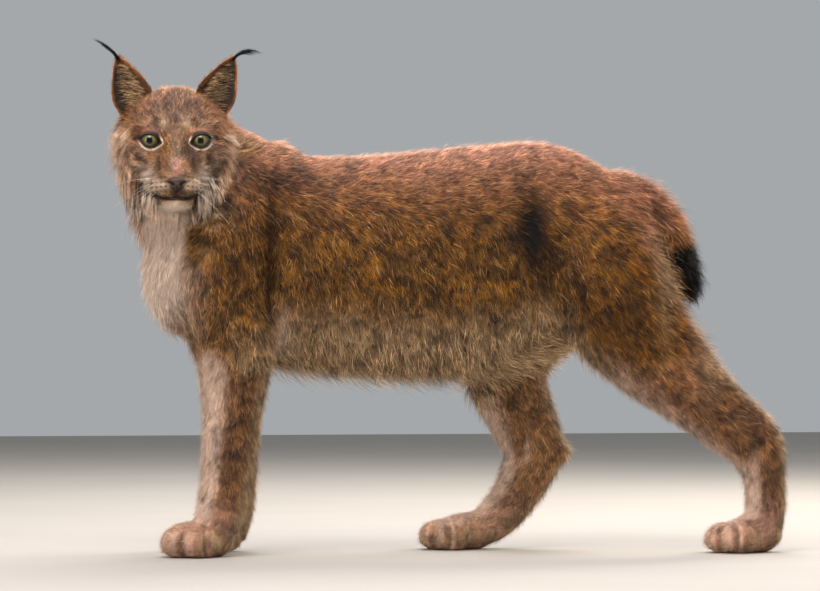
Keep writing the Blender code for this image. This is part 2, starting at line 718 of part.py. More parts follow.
def build_hindlimb(body, side, word):
    leg, outline = (HINDLEG_LEFT, THIGH_CELL_LEFT) if side == LEFT else (HINDLEG_RIGHT, THIGH_CELL_RIGHT)
    line = spread(leg, LEG_STEPS)[:, :3]
    knee_at, knee_way = line[KNEE], line[KNEE + 1] - line[KNEE - 1]
    ankle_at, ankle_way = line[ANKLE], line[ANKLE + 1] - line[ANKLE - 1]
    cell = prism("cell", outline, side * CELL_INNER, side * CELL_OUTER)
    thigh = sliced(taken_out(body, cell, "thigh"), knee_at, knee_way)
    shank = sliced(sliced(tube("shank", leg, 24, 16), knee_at, -knee_way), ankle_at, ankle_way)
    hindpaw = sliced(paw("hindpaw", tube("ankle", leg[6:], 10, 18), HINDPAWS[side]), ankle_at, -ankle_way)
    finished(thigh, f"thigh_{word}", FUR_RUST)
    finished(shank, f"shank_{word}", FUR_SAND)
    finished(hindpaw, f"hindpaw_{word}", FUR_PALE)


def build_nose(frame, core):
    """The bare nose pad, broad at the top and pointed below, with its nostrils."""
    pieces = [ball(name, middle, radii, frame) for name, (middle, radii) in NOSE_FORMS.items()]
    pad = fused("nose", pieces, **NOSE_SKIN)
    for side in (LEFT, RIGHT):
        x, y, z = NOSTRIL_AT
        boolean(pad, [ball("nostril", (side * x, y, z), NOSTRIL_RADII, frame, 2)], "DIFFERENCE", "MANIFOLD")
    boolean(pad, [grown(core)], "DIFFERENCE", "MANIFOLD")
    finished(largest(pad), "nose", NOSE_BROWN, 0.5)


def build_eye(head, frame, side, word):
    """An eyeball, its socket in the head and the almond opening between the lids."""
    x, y, z = OPENING_AT
    turn = Matrix.Rotation(math.radians(-side * OPENING_SLANT), 4, "Y")
    slant = frame @ Matrix.Translation((side * x, y, z)) @ turn
    middle = (side * EYE_OUT, 0.0, 0.0)
    boolean(head, [ball("opening", (0, 0, 0), OPENING_RADII, slant)], "DIFFERENCE", "MANIFOLD")
    boolean(head, [ball("socket", middle, (EYE_RADIUS + GAP,) * 3, frame)], "DIFFERENCE", "MANIFOLD")
    finished(ball("eye", middle, (EYE_RADIUS,) * 3, frame), f"eye_{word}", EYE_GREEN, 0.1)


def build_ear(head, core, frame, side, word):
    cup = ear_cup(frame, side)
    boolean(cup, ear_tuft(frame, side), "UNION", "MANIFOLD")
    boolean(cup, [grown(core)], "DIFFERENCE", "MANIFOLD")
    finished(largest(cup), f"ear_{word}", FUR_GREY)
    boolean(head, [grown(cup)], "DIFFERENCE", "MANIFOLD")


def build_head(neck):
    """Head with mouth, ruff, sockets, nose, eyes and ears.

    The cuts use the MANIFOLD solver: the EXACT one keeps only a scrap of the head at the mouth.
    """
    frame = head_frame()
    head = sliced(head_core(frame), NAPE_AT, reverse(NAPE_WAY))
    boolean(head, [groove("mouth", head, frame, MOUTH, MOUTH_RADIUS)], "DIFFERENCE", "MANIFOLD")
    boolean(head, [groove("philtrum", head, frame, PHILTRUM, PHILTRUM_RADIUS)], "DIFFERENCE", "MANIFOLD")
    core = copy_of(head)
    boolean(head, ruff(core, frame), "UNION", "MANIFOLD")
    largest(head)
    boolean(head, [grown(neck)], "DIFFERENCE", "MANIFOLD")
    build_nose(frame, core)
    for side, word in ((LEFT, "left"), (RIGHT, "right")):
        build_eye(head, frame, side, word)
        build_ear(head, core, frame, side, word)
    bpy.data.objects.remove(core)
    finished(largest(head), "head", FUR_SAND)


def build():
    clear_scene()
    body = trunk()
    neck = build_neck(body)
    build_tail(body)
    for side, word in ((LEFT, "left"), (RIGHT, "right")):
        build_forelimb(body, side, word)
        build_hindlimb(body, side, word)
    finished(body, "torso", FUR_RUST)
    build_head(neck)
    centre_on_floor()


build()
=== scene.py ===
"""A life-size Eurasian lynx, dressed: one skin, eyes, nose, ears and a coat of tufts round the solids."""

import math

import bmesh
import bpy
import numpy as np
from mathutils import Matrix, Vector


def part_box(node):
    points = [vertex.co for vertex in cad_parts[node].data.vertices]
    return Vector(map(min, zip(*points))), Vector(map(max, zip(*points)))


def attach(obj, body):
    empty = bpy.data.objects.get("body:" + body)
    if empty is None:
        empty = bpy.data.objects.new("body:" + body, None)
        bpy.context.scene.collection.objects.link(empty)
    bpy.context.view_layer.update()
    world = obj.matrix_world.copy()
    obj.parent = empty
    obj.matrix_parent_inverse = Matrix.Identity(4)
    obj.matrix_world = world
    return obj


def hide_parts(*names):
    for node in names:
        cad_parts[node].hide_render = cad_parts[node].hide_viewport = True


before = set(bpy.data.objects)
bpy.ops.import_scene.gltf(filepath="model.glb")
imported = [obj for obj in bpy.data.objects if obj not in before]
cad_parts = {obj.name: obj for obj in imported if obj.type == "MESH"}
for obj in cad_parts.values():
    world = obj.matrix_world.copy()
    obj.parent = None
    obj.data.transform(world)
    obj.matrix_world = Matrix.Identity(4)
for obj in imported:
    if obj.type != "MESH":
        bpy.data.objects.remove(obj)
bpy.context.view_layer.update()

# Where the body and the head lie.
# The animal faces -X with its left side to -Y, and its head looks over its left shoulder, so the head has
# axes of its own: X to the animal's right, Y the way it looks, Z up, from the middle between the eyes.


def middle_of(node):
    """The middle of a node's box."""
    low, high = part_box(node)
    return (np.array(low) + np.array(high)) / 2


eye_at = {"left": middle_of("eye_left"), "right": middle_of("eye_right")}
head_at = (eye_at["left"] + eye_at["right"]) / 2
head_x = (eye_at["right"] - eye_at["left"]) / np.linalg.norm(eye_at["right"] - eye_at["left"])
head_axes = np.array([head_x, np.cross((0.0, 0.0, 1.0), head_x), (0.0, 0.0, 1.0)])
# Sizes below are measured from under the withers, where the solids' own middle lies a little off
measured = head_at - np.array((-0.413, -0.100, 0.613))


def to_head(points):
    """Places in the scene as places on the head's own axes."""
    return (points - head_at) @ head_axes.T


def from_head(points):
    """Places on the head's own axes as places in the scene."""
    return head_at + np.asarray(points, float) @ head_axes


# Skin of the head.
# Skull, jaw, cheeks and muzzle under the coat. Mounted skins are drawn over a carved form and set with pins
# round the lids, nostrils and lips, so the form carries those folds itself.
# Skull, nape to face: how far forward, the section's middle height, half its height and half its width
SKULL = (
    (-0.104, 0.012, 0.050, 0.046),
    (-0.078, 0.008, 0.072, 0.063),
    (-0.048, 0.001, 0.081, 0.071),
    (-0.024, -0.008, 0.075, 0.069),
    (-0.006, -0.021, 0.061, 0.062),
    (0.006, -0.038, 0.050, 0.051),
    (0.017, -0.055, 0.039, 0.039),
    (0.030, -0.067, 0.027, 0.030),
)
# Bridge of the nose from brow to tip: how far forward, height, half height and half width
BRIDGE = (
    (-0.016, 0.030, 0.018, 0.021),
    (-0.006, 0.019, 0.017, 0.019),
    (0.004, 0.006, 0.016, 0.0165),
    (0.013, -0.008, 0.0155, 0.0158),
    (0.022, -0.022, 0.015, 0.0150),
    (0.031, -0.036, 0.0145, 0.0150),
    (0.040, -0.050, 0.014, 0.0160),
)
# Soft parts over the skull: each one's middle and its half sizes across, forward and up
FACE_MIDDLE = {
    "muzzle": ((0.0, 0.026, -0.058), (0.029, 0.029, 0.024)),
    "chin": ((0.0, 0.021, -0.091), (0.024, 0.029, 0.0125)),
}
FACE_SIDES = {
    "cheek": ((0.048, -0.034, -0.036), (0.033, 0.042, 0.044)),
    "jaw": ((0.032, -0.024, -0.074), (0.026, 0.038, 0.022)),
    "pad": ((0.0175, 0.032, -0.0690), (0.0200, 0.023, 0.0150)),
    "brow": ((0.034, -0.011, 0.012), (0.023, 0.020, 0.010)),
    "lid": ((0.0375, 0.0, 0.0), (0.0190, 0.0190, 0.0190)),
    "under_eye": ((0.038, -0.004, -0.018), (0.022, 0.019, 0.014)),
    "muzzle_side": ((0.024, 0.008, -0.036), (0.022, 0.024, 0.024)),
    "ear_root": ((0.050, -0.066, 0.028), (0.031, 0.015, 0.031)),
    "temple": ((0.050, -0.050, 0.000), (0.031, 0.028, 0.042)),
}
# Rays leave the middle on all sides, closest together round the pole, which points out through the nose
HEAD_MIDDLE = np.array((0.0, -0.040, -0.022))
HEAD_POLE = np.array((0.0, 0.095, -0.044))
HEAD_ROWS, HEAD_COLUMNS = 190, 250
FACE_BLEND = 0.0030


def run_together(points, forms, blend, skull=False):
    """Distance to ellipsoids, with or without the skull, run together: minus blend times the log of the sum
    of exp(-distance / blend). The distance to an ellipsoid is k0 (k0 - 1) / k1, where k0 is the length of the
    point over its radii and k1 the length over their squares."""
    total = np.exp(-skull_distance(points) / blend) if skull else np.zeros(len(points))
    for middle, radii in forms:
        q = (points - middle) / radii
        k0 = np.maximum(np.linalg.norm(q, axis=1), 1e-6)
        k1 = np.maximum(np.linalg.norm(q / np.array(radii), axis=1), 1e-6)
        total += np.exp(-np.clip(k0 * (k0 - 1) / k1, -0.2, 0.4) / blend)
    return -blend * np.log(total)


def spread(rows, count):
    """Rows evenly spread along a Catmull-Rom curve through a table of rows."""
    rows = np.array(rows, float)
    rows = np.vstack([2 * rows[0] - rows[1], rows, 2 * rows[-1] - rows[-2]])
    at = np.linspace(0, len(rows) - 3 - 1e-9, count)
    k = at.astype(int)
    t = (at - k)[:, None]
    a, b, c, d = rows[k], rows[k + 1], rows[k + 2], rows[k + 3]
    bend = (2 * a - 5 * b + 4 * c - d) * t**2 + (3 * b - a - 3 * c + d) * t**3
    return 0.5 * (2 * b + (c - a) * t + bend)


SKULL_FINE = spread(SKULL, 60)


def skull_distance(points):
    """Distance to a form with an upright, squarish oval section at each y: the sum of the powers 2.5 of x /
    width, (z - middle) / height and what lies past either end over 0.045, to 1 / 2.5, less 1, times the
    lesser half size."""
    y = np.clip(points[:, 1], SKULL_FINE[0, 0], SKULL_FINE[-1, 0])
    middle, height, width = (np.interp(y, SKULL_FINE[:, 0], SKULL_FINE[:, k]) for k in (1, 2, 3))
    past = (points[:, 1] - y) / np.where(points[:, 1] < 0, 0.045, 0.020)
    parts = np.abs([points[:, 0] / width, (points[:, 2] - middle) / height, past])
    length = np.sum(parts**2.5, axis=0) ** (1 / 2.5)
    return (length - 1) * np.minimum(height, width) * 0.9


def star_reach(middle, ways, forms, blend, depth, start, skull=False):
    """How far from the middle each ray leaves the forms: the ray walks in from start, each time by 0.8 of the
    distance that is left, until it lies depth inside them."""
    steps, stride, least = 48, 0.8, 0.004
    reach = np.full(len(ways), start)
    for _ in range(steps):
        points = middle + ways * reach[:, None]
        left = run_together(points, forms, blend, skull) + depth(points)
        reach = np.maximum(reach - stride * left, least)
    return reach


def polar_ways(pole, polar, turns):
    """Unit ways on a grid round a pole: cos(a) pole + sin(a) (cos(t) side + sin(t) up), a row for each a."""
    pole = pole / np.linalg.norm(pole)
    side = np.cross(pole, (0.0, 0.0, 1.0))
    side /= np.linalg.norm(side)
    up = np.cross(side, pole)
    a, t = np.meshgrid(polar, turns, indexing="ij")
    ring = np.cos(t)[..., None] * side + np.sin(t)[..., None] * up
    return (np.cos(a)[..., None] * pole + np.sin(a)[..., None] * ring).reshape(-1, 3)


def closed_grid(rows, columns):
    """Faces of a grid closed round its columns, with a fan at each end to the two points that follow the
    grid."""
    i, j = np.meshgrid(np.arange(rows - 1), np.arange(columns), indexing="ij")
    a, b = i * columns + j, i * columns + (j + 1) % columns
    quads = np.stack([a, b, b + columns, a + columns], -1).reshape(-1, 4)
    k = np.arange(columns)
    first = np.stack([np.full(columns, rows * columns), (k + 1) % columns, k], -1)
    rim = (rows - 1) * columns
    last = np.stack([np.full(columns, rows * columns + 1), rim + k, rim + (k + 1) % columns], -1)
    return np.vstack([quads[:, [0, 1, 2]], quads[:, [0, 2, 3]], first, last])


def make_mesh(name, points, triangles):
    """A smooth-shaded mesh object at the origin from arrays of points and triangles."""
    mesh = bpy.data.meshes.new(name)
    mesh.vertices.add(len(points))
    mesh.vertices.foreach_set("co", np.asarray(points, np.float32).ravel())
    mesh.loops.add(3 * len(triangles))
    mesh.loops.foreach_set("vertex_index", np.asarray(triangles, np.int32).ravel())
    mesh.polygons.add(len(triangles))
    mesh.polygons.foreach_set("loop_start", np.arange(0, 3 * len(triangles), 3, dtype=np.int32))
    mesh.polygons.foreach_set("use_smooth", np.ones(len(triangles), bool))
    mesh.update(calc_edges=True)
    mesh.validate()
    piece = bpy.data.objects.new(name, mesh)
    bpy.context.scene.collection.objects.link(piece)
    return piece


def step(value, low, high):
    """Smooth step from 0 at low to 1 at high; low may be the greater."""
    t = np.clip((value - low) / (high - low), 0, 1)
    return t * t * (3 - 2 * t)


def line_distance(points, line):
    """Distance from each point to a line of straight stretches."""
    line = np.asarray(line, float)
    nearest = np.full(len(points), 1e9)
    for start, end in zip(line[:-1], line[1:]):
        run = end - start
        t = np.clip((points - start) @ run / (run @ run), 0, 1)
        nearest = np.minimum(nearest, np.linalg.norm(points - start - t[:, None] * run, axis=1))
    return nearest


# The almond between the lids: its middle's place outwards, half width, height above and below, and slant
EYE_OUT = 0.0375
LID_HALF, LID_UP, LID_DOWN = 0.0160, 0.0094, 0.0096
LID_SLANT = math.radians(13)
# The line of the mouth, from its middle out to one corner: across and up
MOUTH_HALF = ((0.009, -0.0866), (0.019, -0.0856), (0.027, -0.0832), (0.0320, -0.0800))
MOUTH_LINE = (*((-x, z) for x, z in reversed(MOUTH_HALF)), (0.000, -0.0856), *MOUTH_HALF)


def lid_margin(points, side):
    """Distance outside the almond, seen from the front. Its half height falls as 1 - (x / half)^2.4."""
    x, z = side * points[:, 0] - EYE_OUT, points[:, 2]
    across = x * math.cos(LID_SLANT) + z * math.sin(LID_SLANT)
    up = z * math.cos(LID_SLANT) - x * math.sin(LID_SLANT)
    share = np.clip(np.abs(across) / LID_HALF, 0, 2)
    half = np.where(up > 0, LID_UP, LID_DOWN) * (1 - share**2.4)
    on_face = points[:, 1] > -0.02
    return (np.abs(up) - half) * np.where(share < 1, 1.0, 0.8) * on_face + 0.05 * ~on_face


def skin_depth(points):
    """How far the skin lies under the tips of the coat on the head: 1.3 mm at the nose, 5 mm at the nape."""
    return np.interp(points[:, 1], (-0.080, -0.045, -0.010, 0.020), (0.0050, 0.0040, 0.0032, 0.0013))


head_forms = [((0.0, y, z), (width, 0.012, height)) for y, z, height, width in spread(BRIDGE, 22)]
head_forms += list(FACE_MIDDLE.values())
head_forms += [((s * x, y, z), radii) for s in (-1, 1) for (x, y, z), radii in FACE_SIDES.values()]
# Rows lie closer together on the face than behind it
head_polar = np.pi * np.linspace(0.004, 0.996, HEAD_ROWS) ** 1.25
head_ways = polar_ways(HEAD_POLE, head_polar, np.linspace(0, 2 * np.pi, HEAD_COLUMNS, endpoint=False))
head_reach = star_reach(HEAD_MIDDLE, head_ways, head_forms, FACE_BLEND, skin_depth, 0.22, skull=True)
head_points = HEAD_MIDDLE + head_ways * head_reach[:, None]
head_bare = head_points.copy()
# Round each eye: a bed for the ball inside the almond, the roll of the lids, and a crease beyond them
for side in (-1, 1):
    margin = lid_margin(head_points, side)
    near = np.linalg.norm(head_points - (side * EYE_OUT, 0, 0), axis=1) < 0.034
    head_reach -= near * 0.0075 * step(margin, 0.0006, -0.0016)
    head_reach += near * 0.0009 * np.exp(-(((margin - 0.0030) / 0.0016) ** 2))
    crease = margin - 0.0075 - 0.002 * (head_points[:, 2] < 0)
    head_reach -= near * 0.0012 * np.exp(-((crease / 0.0014) ** 2)) * (np.abs(head_points[:, 2]) < 0.022)
# The slit of the mouth between two full lips, and the groove from it to the nose
mouth_flat = np.array([(x, 0.0, z) for x, z in MOUTH_LINE])
front = head_points * (1, 0, 1)
mouth_near = line_distance(front, mouth_flat)
on_front = head_points[:, 1] > 0.0
head_reach -= on_front * 0.0042 * np.exp(-((mouth_near / 0.0013) ** 2))
head_reach += on_front * 0.0009 * np.exp(-(((mouth_near - 0.0034) / 0.0018) ** 2))
philtrum = line_distance(front, ((0.0, 0.0, -0.070), (0.0, 0.0, -0.082)))
head_reach -= on_front * 0.0016 * np.exp(-((philtrum / 0.0012) ** 2))
head_points = HEAD_MIDDLE + head_ways * head_reach[:, None]
ends = [head_points[:HEAD_COLUMNS].mean(0), head_points[-HEAD_COLUMNS:].mean(0)]
head_skin = make_mesh("head_skin", from_head(np.vstack([head_points, ends])),
                      closed_grid(HEAD_ROWS, HEAD_COLUMNS))


def outward(piece):
    """The piece with its faces turned outwards."""
    whole = bmesh.new()
    whole.from_mesh(piece.data)
    bmesh.ops.recalc_face_normals(whole, faces=whole.faces[:])
    whole.to_mesh(piece.data)
    whole.free()
    return piece


# Skin of the body.
# Neck, trunk, legs, feet and tail, all one hide, which lies under the tips of the coat by the coat's depth.
# It starts from copies of the solids run together, and is pressed in where shoulder and haunch stand off.
FLESH = ["neck", "torso"]
FLESH += [f"{part}_{side}" for side in ("left", "right") for part in
          ("shoulder", "foreleg", "forepaw", "thigh", "shank", "hindpaw")]
BODY_VOXEL = 0.0056
# Neck and tail: places along the middle, then half the depth and half the width of the section
NECK = (
    (-0.200, 0.000, 0.430, 0.130, 0.098),
    (-0.285, 0.000, 0.482, 0.140, 0.098),
    (-0.345, 0.002, 0.534, 0.129, 0.092),
    (-0.374, 0.004, 0.583, 0.104, 0.082),
    (-0.390, 0.000, 0.624, 0.076, 0.066),
)
TAIL = (
    (0.230, 0.0, 0.535, 0.030, 0.034),
    (0.270, 0.0, 0.534, 0.030, 0.033),
    (0.306, 0.0, 0.521, 0.0260, 0.0280),
    (0.336, 0.0, 0.502, 0.0235, 0.0245),
    (0.355, 0.0, 0.472, 0.0205, 0.0215),
    (0.368, 0.0, 0.440, 0.0190, 0.0200),
    (0.375, 0.0, 0.416, 0.0180, 0.0190),
    (0.381, 0.0, 0.402, 0.0140, 0.0150),
)


def carried(rows, rings, sides, across=(0.0, 1.0, 0.0)):
    """Points and faces of an oval profile carried along a curve: middle + up depth cos(t) + out width sin(t),
    where out is square to the curve and nearest to across. Two rings round off each end by the cosines and
    sines of 35 and 65 degrees."""
    rows = spread(rows, rings)
    ways = np.gradient(rows[:, :3], axis=0)
    ways /= np.linalg.norm(ways, axis=1)[:, None]
    bend = np.radians((65, 35))[:, None]
    start = np.hstack([rows[0, :3] - ways[0] * rows[0, 3:].min() * np.sin(bend), rows[0, 3:] * np.cos(bend)])
    end = np.hstack([rows[-1, :3] + ways[-1] * rows[-1, 3:].min() * np.sin(bend),
                     rows[-1, 3:] * np.cos(bend)])[::-1]
    rows = np.vstack([start, rows, end])
    ways = np.vstack([ways[:1], ways[:1], ways, ways[-1:], ways[-1:]])
    out = np.array(across) - ways * (ways @ np.array(across))[:, None]
    out /= np.linalg.norm(out, axis=1)[:, None]
    up = np.cross(ways, out)
    t = np.linspace(0, 2 * np.pi, sides, endpoint=False)[None, :, None]
    ring = up[:, None] * rows[:, None, 3:4] * np.cos(t) + out[:, None] * rows[:, None, 4:5] * np.sin(t)
    points = (rows[:, None, :3] + ring).reshape(-1, 3)
    tips = [rows[2, :3] - ways[0] * rows[2, 3:].min(), rows[-3, :3] + ways[-1] * rows[-3, 3:].min()]
    return np.vstack([points, tips]), closed_grid(len(rows), sides)


def merged_copy(name, nodes):
    """One mesh object from copies of the nodes, each with its doubled corners merged, and of the neck carried
    on."""
    whole = bmesh.new()
    for node in nodes:
        single = bmesh.new()
        single.from_mesh(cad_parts[node].data)
        bmesh.ops.remove_doubles(single, verts=single.verts[:], dist=1e-6)
        copy = bpy.data.meshes.new("copy")
        single.to_mesh(copy)
        single.free()
        whole.from_mesh(copy)
        bpy.data.meshes.remove(copy)
    points, faces = carried(NECK, 24, 40)
    column = make_mesh("column", points + measured, faces)
    whole.from_mesh(column.data)
    bpy.data.objects.remove(column)
    mesh = bpy.data.meshes.new(name)
    whole.to_mesh(mesh)
    whole.free()
    piece = bpy.data.objects.new(name, mesh)
    bpy.context.scene.collection.objects.link(piece)
    return piece


def work_in(piece):
    """The piece with its modifiers worked into its mesh."""
    graph = bpy.context.evaluated_depsgraph_get()
    graph.update()
    mesh = bpy.data.meshes.new_from_object(piece.evaluated_get(graph))
    piece.modifiers.clear()
    piece.data = mesh
    return piece


def corners(piece):
    """Points and outward normals of a mesh as arrays."""
    points = np.empty(3 * len(piece.data.vertices), np.float32)
    normals = np.empty(3 * len(piece.data.vertices), np.float32)
    piece.data.vertices.foreach_get("co", points)
    piece.data.vertex_normals.foreach_get("vector", normals)
    return points.reshape(-1, 3).astype(float), normals.reshape(-1, 3).astype(float)


def set_corners(piece, points):
    """The piece's corners moved to these points."""
    piece.data.vertices.foreach_set("co", points.astype(np.float32).ravel())
    piece.data.update()


def coat_depth(points):
    """How far the skin lies under the tips of the coat: 2 mm on the feet, 3 mm on the legs, 7 mm on the
    trunk."""
    heights = (0.0, 0.05, 0.10, 0.24, 0.34, 0.42)
    return np.interp(points[:, 2], heights, (0.0012, 0.0018, 0.0028, 0.0032, 0.0055, 0.0068))


# Bumps and hollows of the hide: middle, radii, and how far out it moves. These lie on both sides
SWELLS_BOTH = {
    "behind the shoulder": ((-0.272, 0.105, 0.495), (0.012, 0.060, 0.060), -0.0095),
    "behind the elbow": ((-0.270, 0.105, 0.395), (0.011, 0.060, 0.065), -0.0125),
    "shoulder": ((-0.325, 0.095, 0.500), (0.034, 0.050, 0.070), 0.0050),
    "withers": ((-0.275, 0.060, 0.590), (0.040, 0.050, 0.025), 0.0040),
    "ribs": ((-0.150, 0.110, 0.500), (0.080, 0.050, 0.040), 0.0020),
    "hollow of the flank": ((0.122, 0.100, 0.490), (0.020, 0.060, 0.045), -0.0105),
    "in front of the thigh": ((0.147, 0.100, 0.420), (0.018, 0.060, 0.045), -0.0080),
    "fold of the stifle": ((0.177, 0.100, 0.360), (0.016, 0.060, 0.040), -0.0070),
    "thigh": ((0.212, 0.090, 0.460), (0.046, 0.050, 0.070), 0.0045),
}
SWELLS_ONE = {
    "hind edge of the left haunch": ((0.334, -0.090, 0.462), (0.022, 0.050, 0.055), -0.0085),
    "hollow over the left hock": ((0.452, -0.105, 0.170), (0.012, 0.016, 0.040), -0.0050),
    "hollow over the right hock": ((0.138, 0.060, 0.160), (0.010, 0.020, 0.030), -0.0040),
    "point of the right hock": ((0.207, 0.084, 0.146), (0.016, 0.030, 0.018), 0.0110),
    "croup": ((0.150, 0.000, 0.605), (0.110, 0.090, 0.045), 0.0110),
    "neck under the jaw": ((-0.368, -0.080, 0.490), (0.036, 0.050, 0.045), 0.0110),
}
# Under the chest and belly the coat is longer, so that the skin lies deeper
BELLY_SINK = ((-0.060, 0.0, 0.265), (0.200, 0.070, 0.050), 0.0060)


def swell(points, middle, radii, amount):
    """A soft bump or hollow: amount times exp(-length(q / radii)^2)."""
    q = (points - measured - middle) / radii
    return amount * np.exp(-np.sum(q * q, axis=1))


# How far behind a foot's front its toes fan out from, and at what angles from straight ahead they part
TOE_FAN = {"forepaw": 0.060, "hindpaw": 0.042}
TOE_GROOVES = (14, 50, 90)
FOOT_TOP = 0.056


def toes(points, node, back):
    """Toes: 2.2 mm out, less 5.2 mm times exp(-(d / 4.6 mm)^2) in the grooves between them, where d is the
    distance from the upright plane through the fan's middle at the groove's angle."""
    low, high = np.array(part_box(node))
    flat = points[:, :2] - (low[0] + back, (low[1] + high[1]) / 2)
    span = np.hypot(flat[:, 0], flat[:, 1])
    angle = np.arctan2(np.abs(flat[:, 1]), -flat[:, 0])
    apart = [span * np.abs(np.sin(angle - math.radians(a))) for a in TOE_GROOVES]
    groove = np.exp(-((np.min(apart, axis=0) / 0.0046) ** 2))
    on_foot = ((span < 0.085) * step(angle, math.radians(125), math.radians(95))
               * step(points[:, 2], 0.048, 0.036))
    return on_foot * step(span, 0.012, 0.024) * (0.0022 - 0.0052 * groove)


# Along this line, back from a forepaw's front and up, the mound of the toes parts from the wrist
WRIST_FOLD = ((0.050, 0.0560), (0.084, 0.0480), (0.110, 0.0370), (0.117, 0.0100))


def wrist_fold(points, node):
    """A fold behind the toes: -2.8 mm times exp(-(d / 4.5 mm)^2), where d is the distance from the fold's
    line, seen from the side."""
    low, high = np.array(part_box(node))
    line = [(low[0] + back, 0.0, up) for back, up in WRIST_FOLD]
    gap = line_distance(points * (1, 0, 1), line)
    on_foot = np.abs(points[:, 1] - (low[1] + high[1]) / 2) < 0.06
    return -0.0028 * on_foot * np.exp(-((gap / 0.0045) ** 2))


body = merged_copy("body_skin", FLESH)
remesh = body.modifiers.new("one hide", "REMESH")
remesh.mode = "VOXEL"
remesh.voxel_size = BODY_VOXEL
relax = body.modifiers.new("relax", "SMOOTH")
relax.iterations = 6
work_in(body)
# The feet need a finer mesh for the toes
feet = bmesh.new()
feet.from_mesh(body.data)
low_edges = [edge for edge in feet.edges if max(corner.co.z for corner in edge.verts) < FOOT_TOP]
bmesh.ops.subdivide_edges(feet, edges=low_edges, cuts=1, use_grid_fill=True)
feet.to_mesh(body.data)
feet.free()
points, normals = corners(body)
sink = coat_depth(points) + swell(points, *BELLY_SINK)
flat_sole = (points[:, 2] < 0.004) & (normals[:, 2] < -0.5)
relief = np.zeros(len(points))
for y in (-1, 1):
    for middle, radii, amount in SWELLS_BOTH.values():
        relief += swell(points, np.array(middle) * (1, y, 1), radii, amount)
for middle, radii, amount in SWELLS_ONE.values():
    relief += swell(points, middle, radii, amount)
for side in ("left", "right"):
    for foot in TOE_FAN:
        relief += toes(points, f"{foot}_{side}", TOE_FAN[foot])
    relief += wrist_fold(points, f"forepaw_{side}")
# The flats of the soles stay level
move = (relief - sink)[:, None] * normals
move[flat_sole] *= (1, 1, 0)
points += move
points[:, 2] = np.maximum(points[:, 2], 0.0002)
set_corners(body, points)
points, faces = carried(TAIL, 60, 32)
tail_skin = outward(make_mesh("tail_skin", points + measured, faces))
# Head and tail grow out of the body in one closed surface
for part in (head_skin, tail_skin):
    join = body.modifiers.new("one skin", "BOOLEAN")
    join.operation = "UNION"
    join.solver = "MANIFOLD"
    join.object = part
work_in(body)
for part in (head_skin, tail_skin):
    bpy.data.objects.remove(part)
skin = body
skin.name = "skin"
skin.data.shade_smooth()

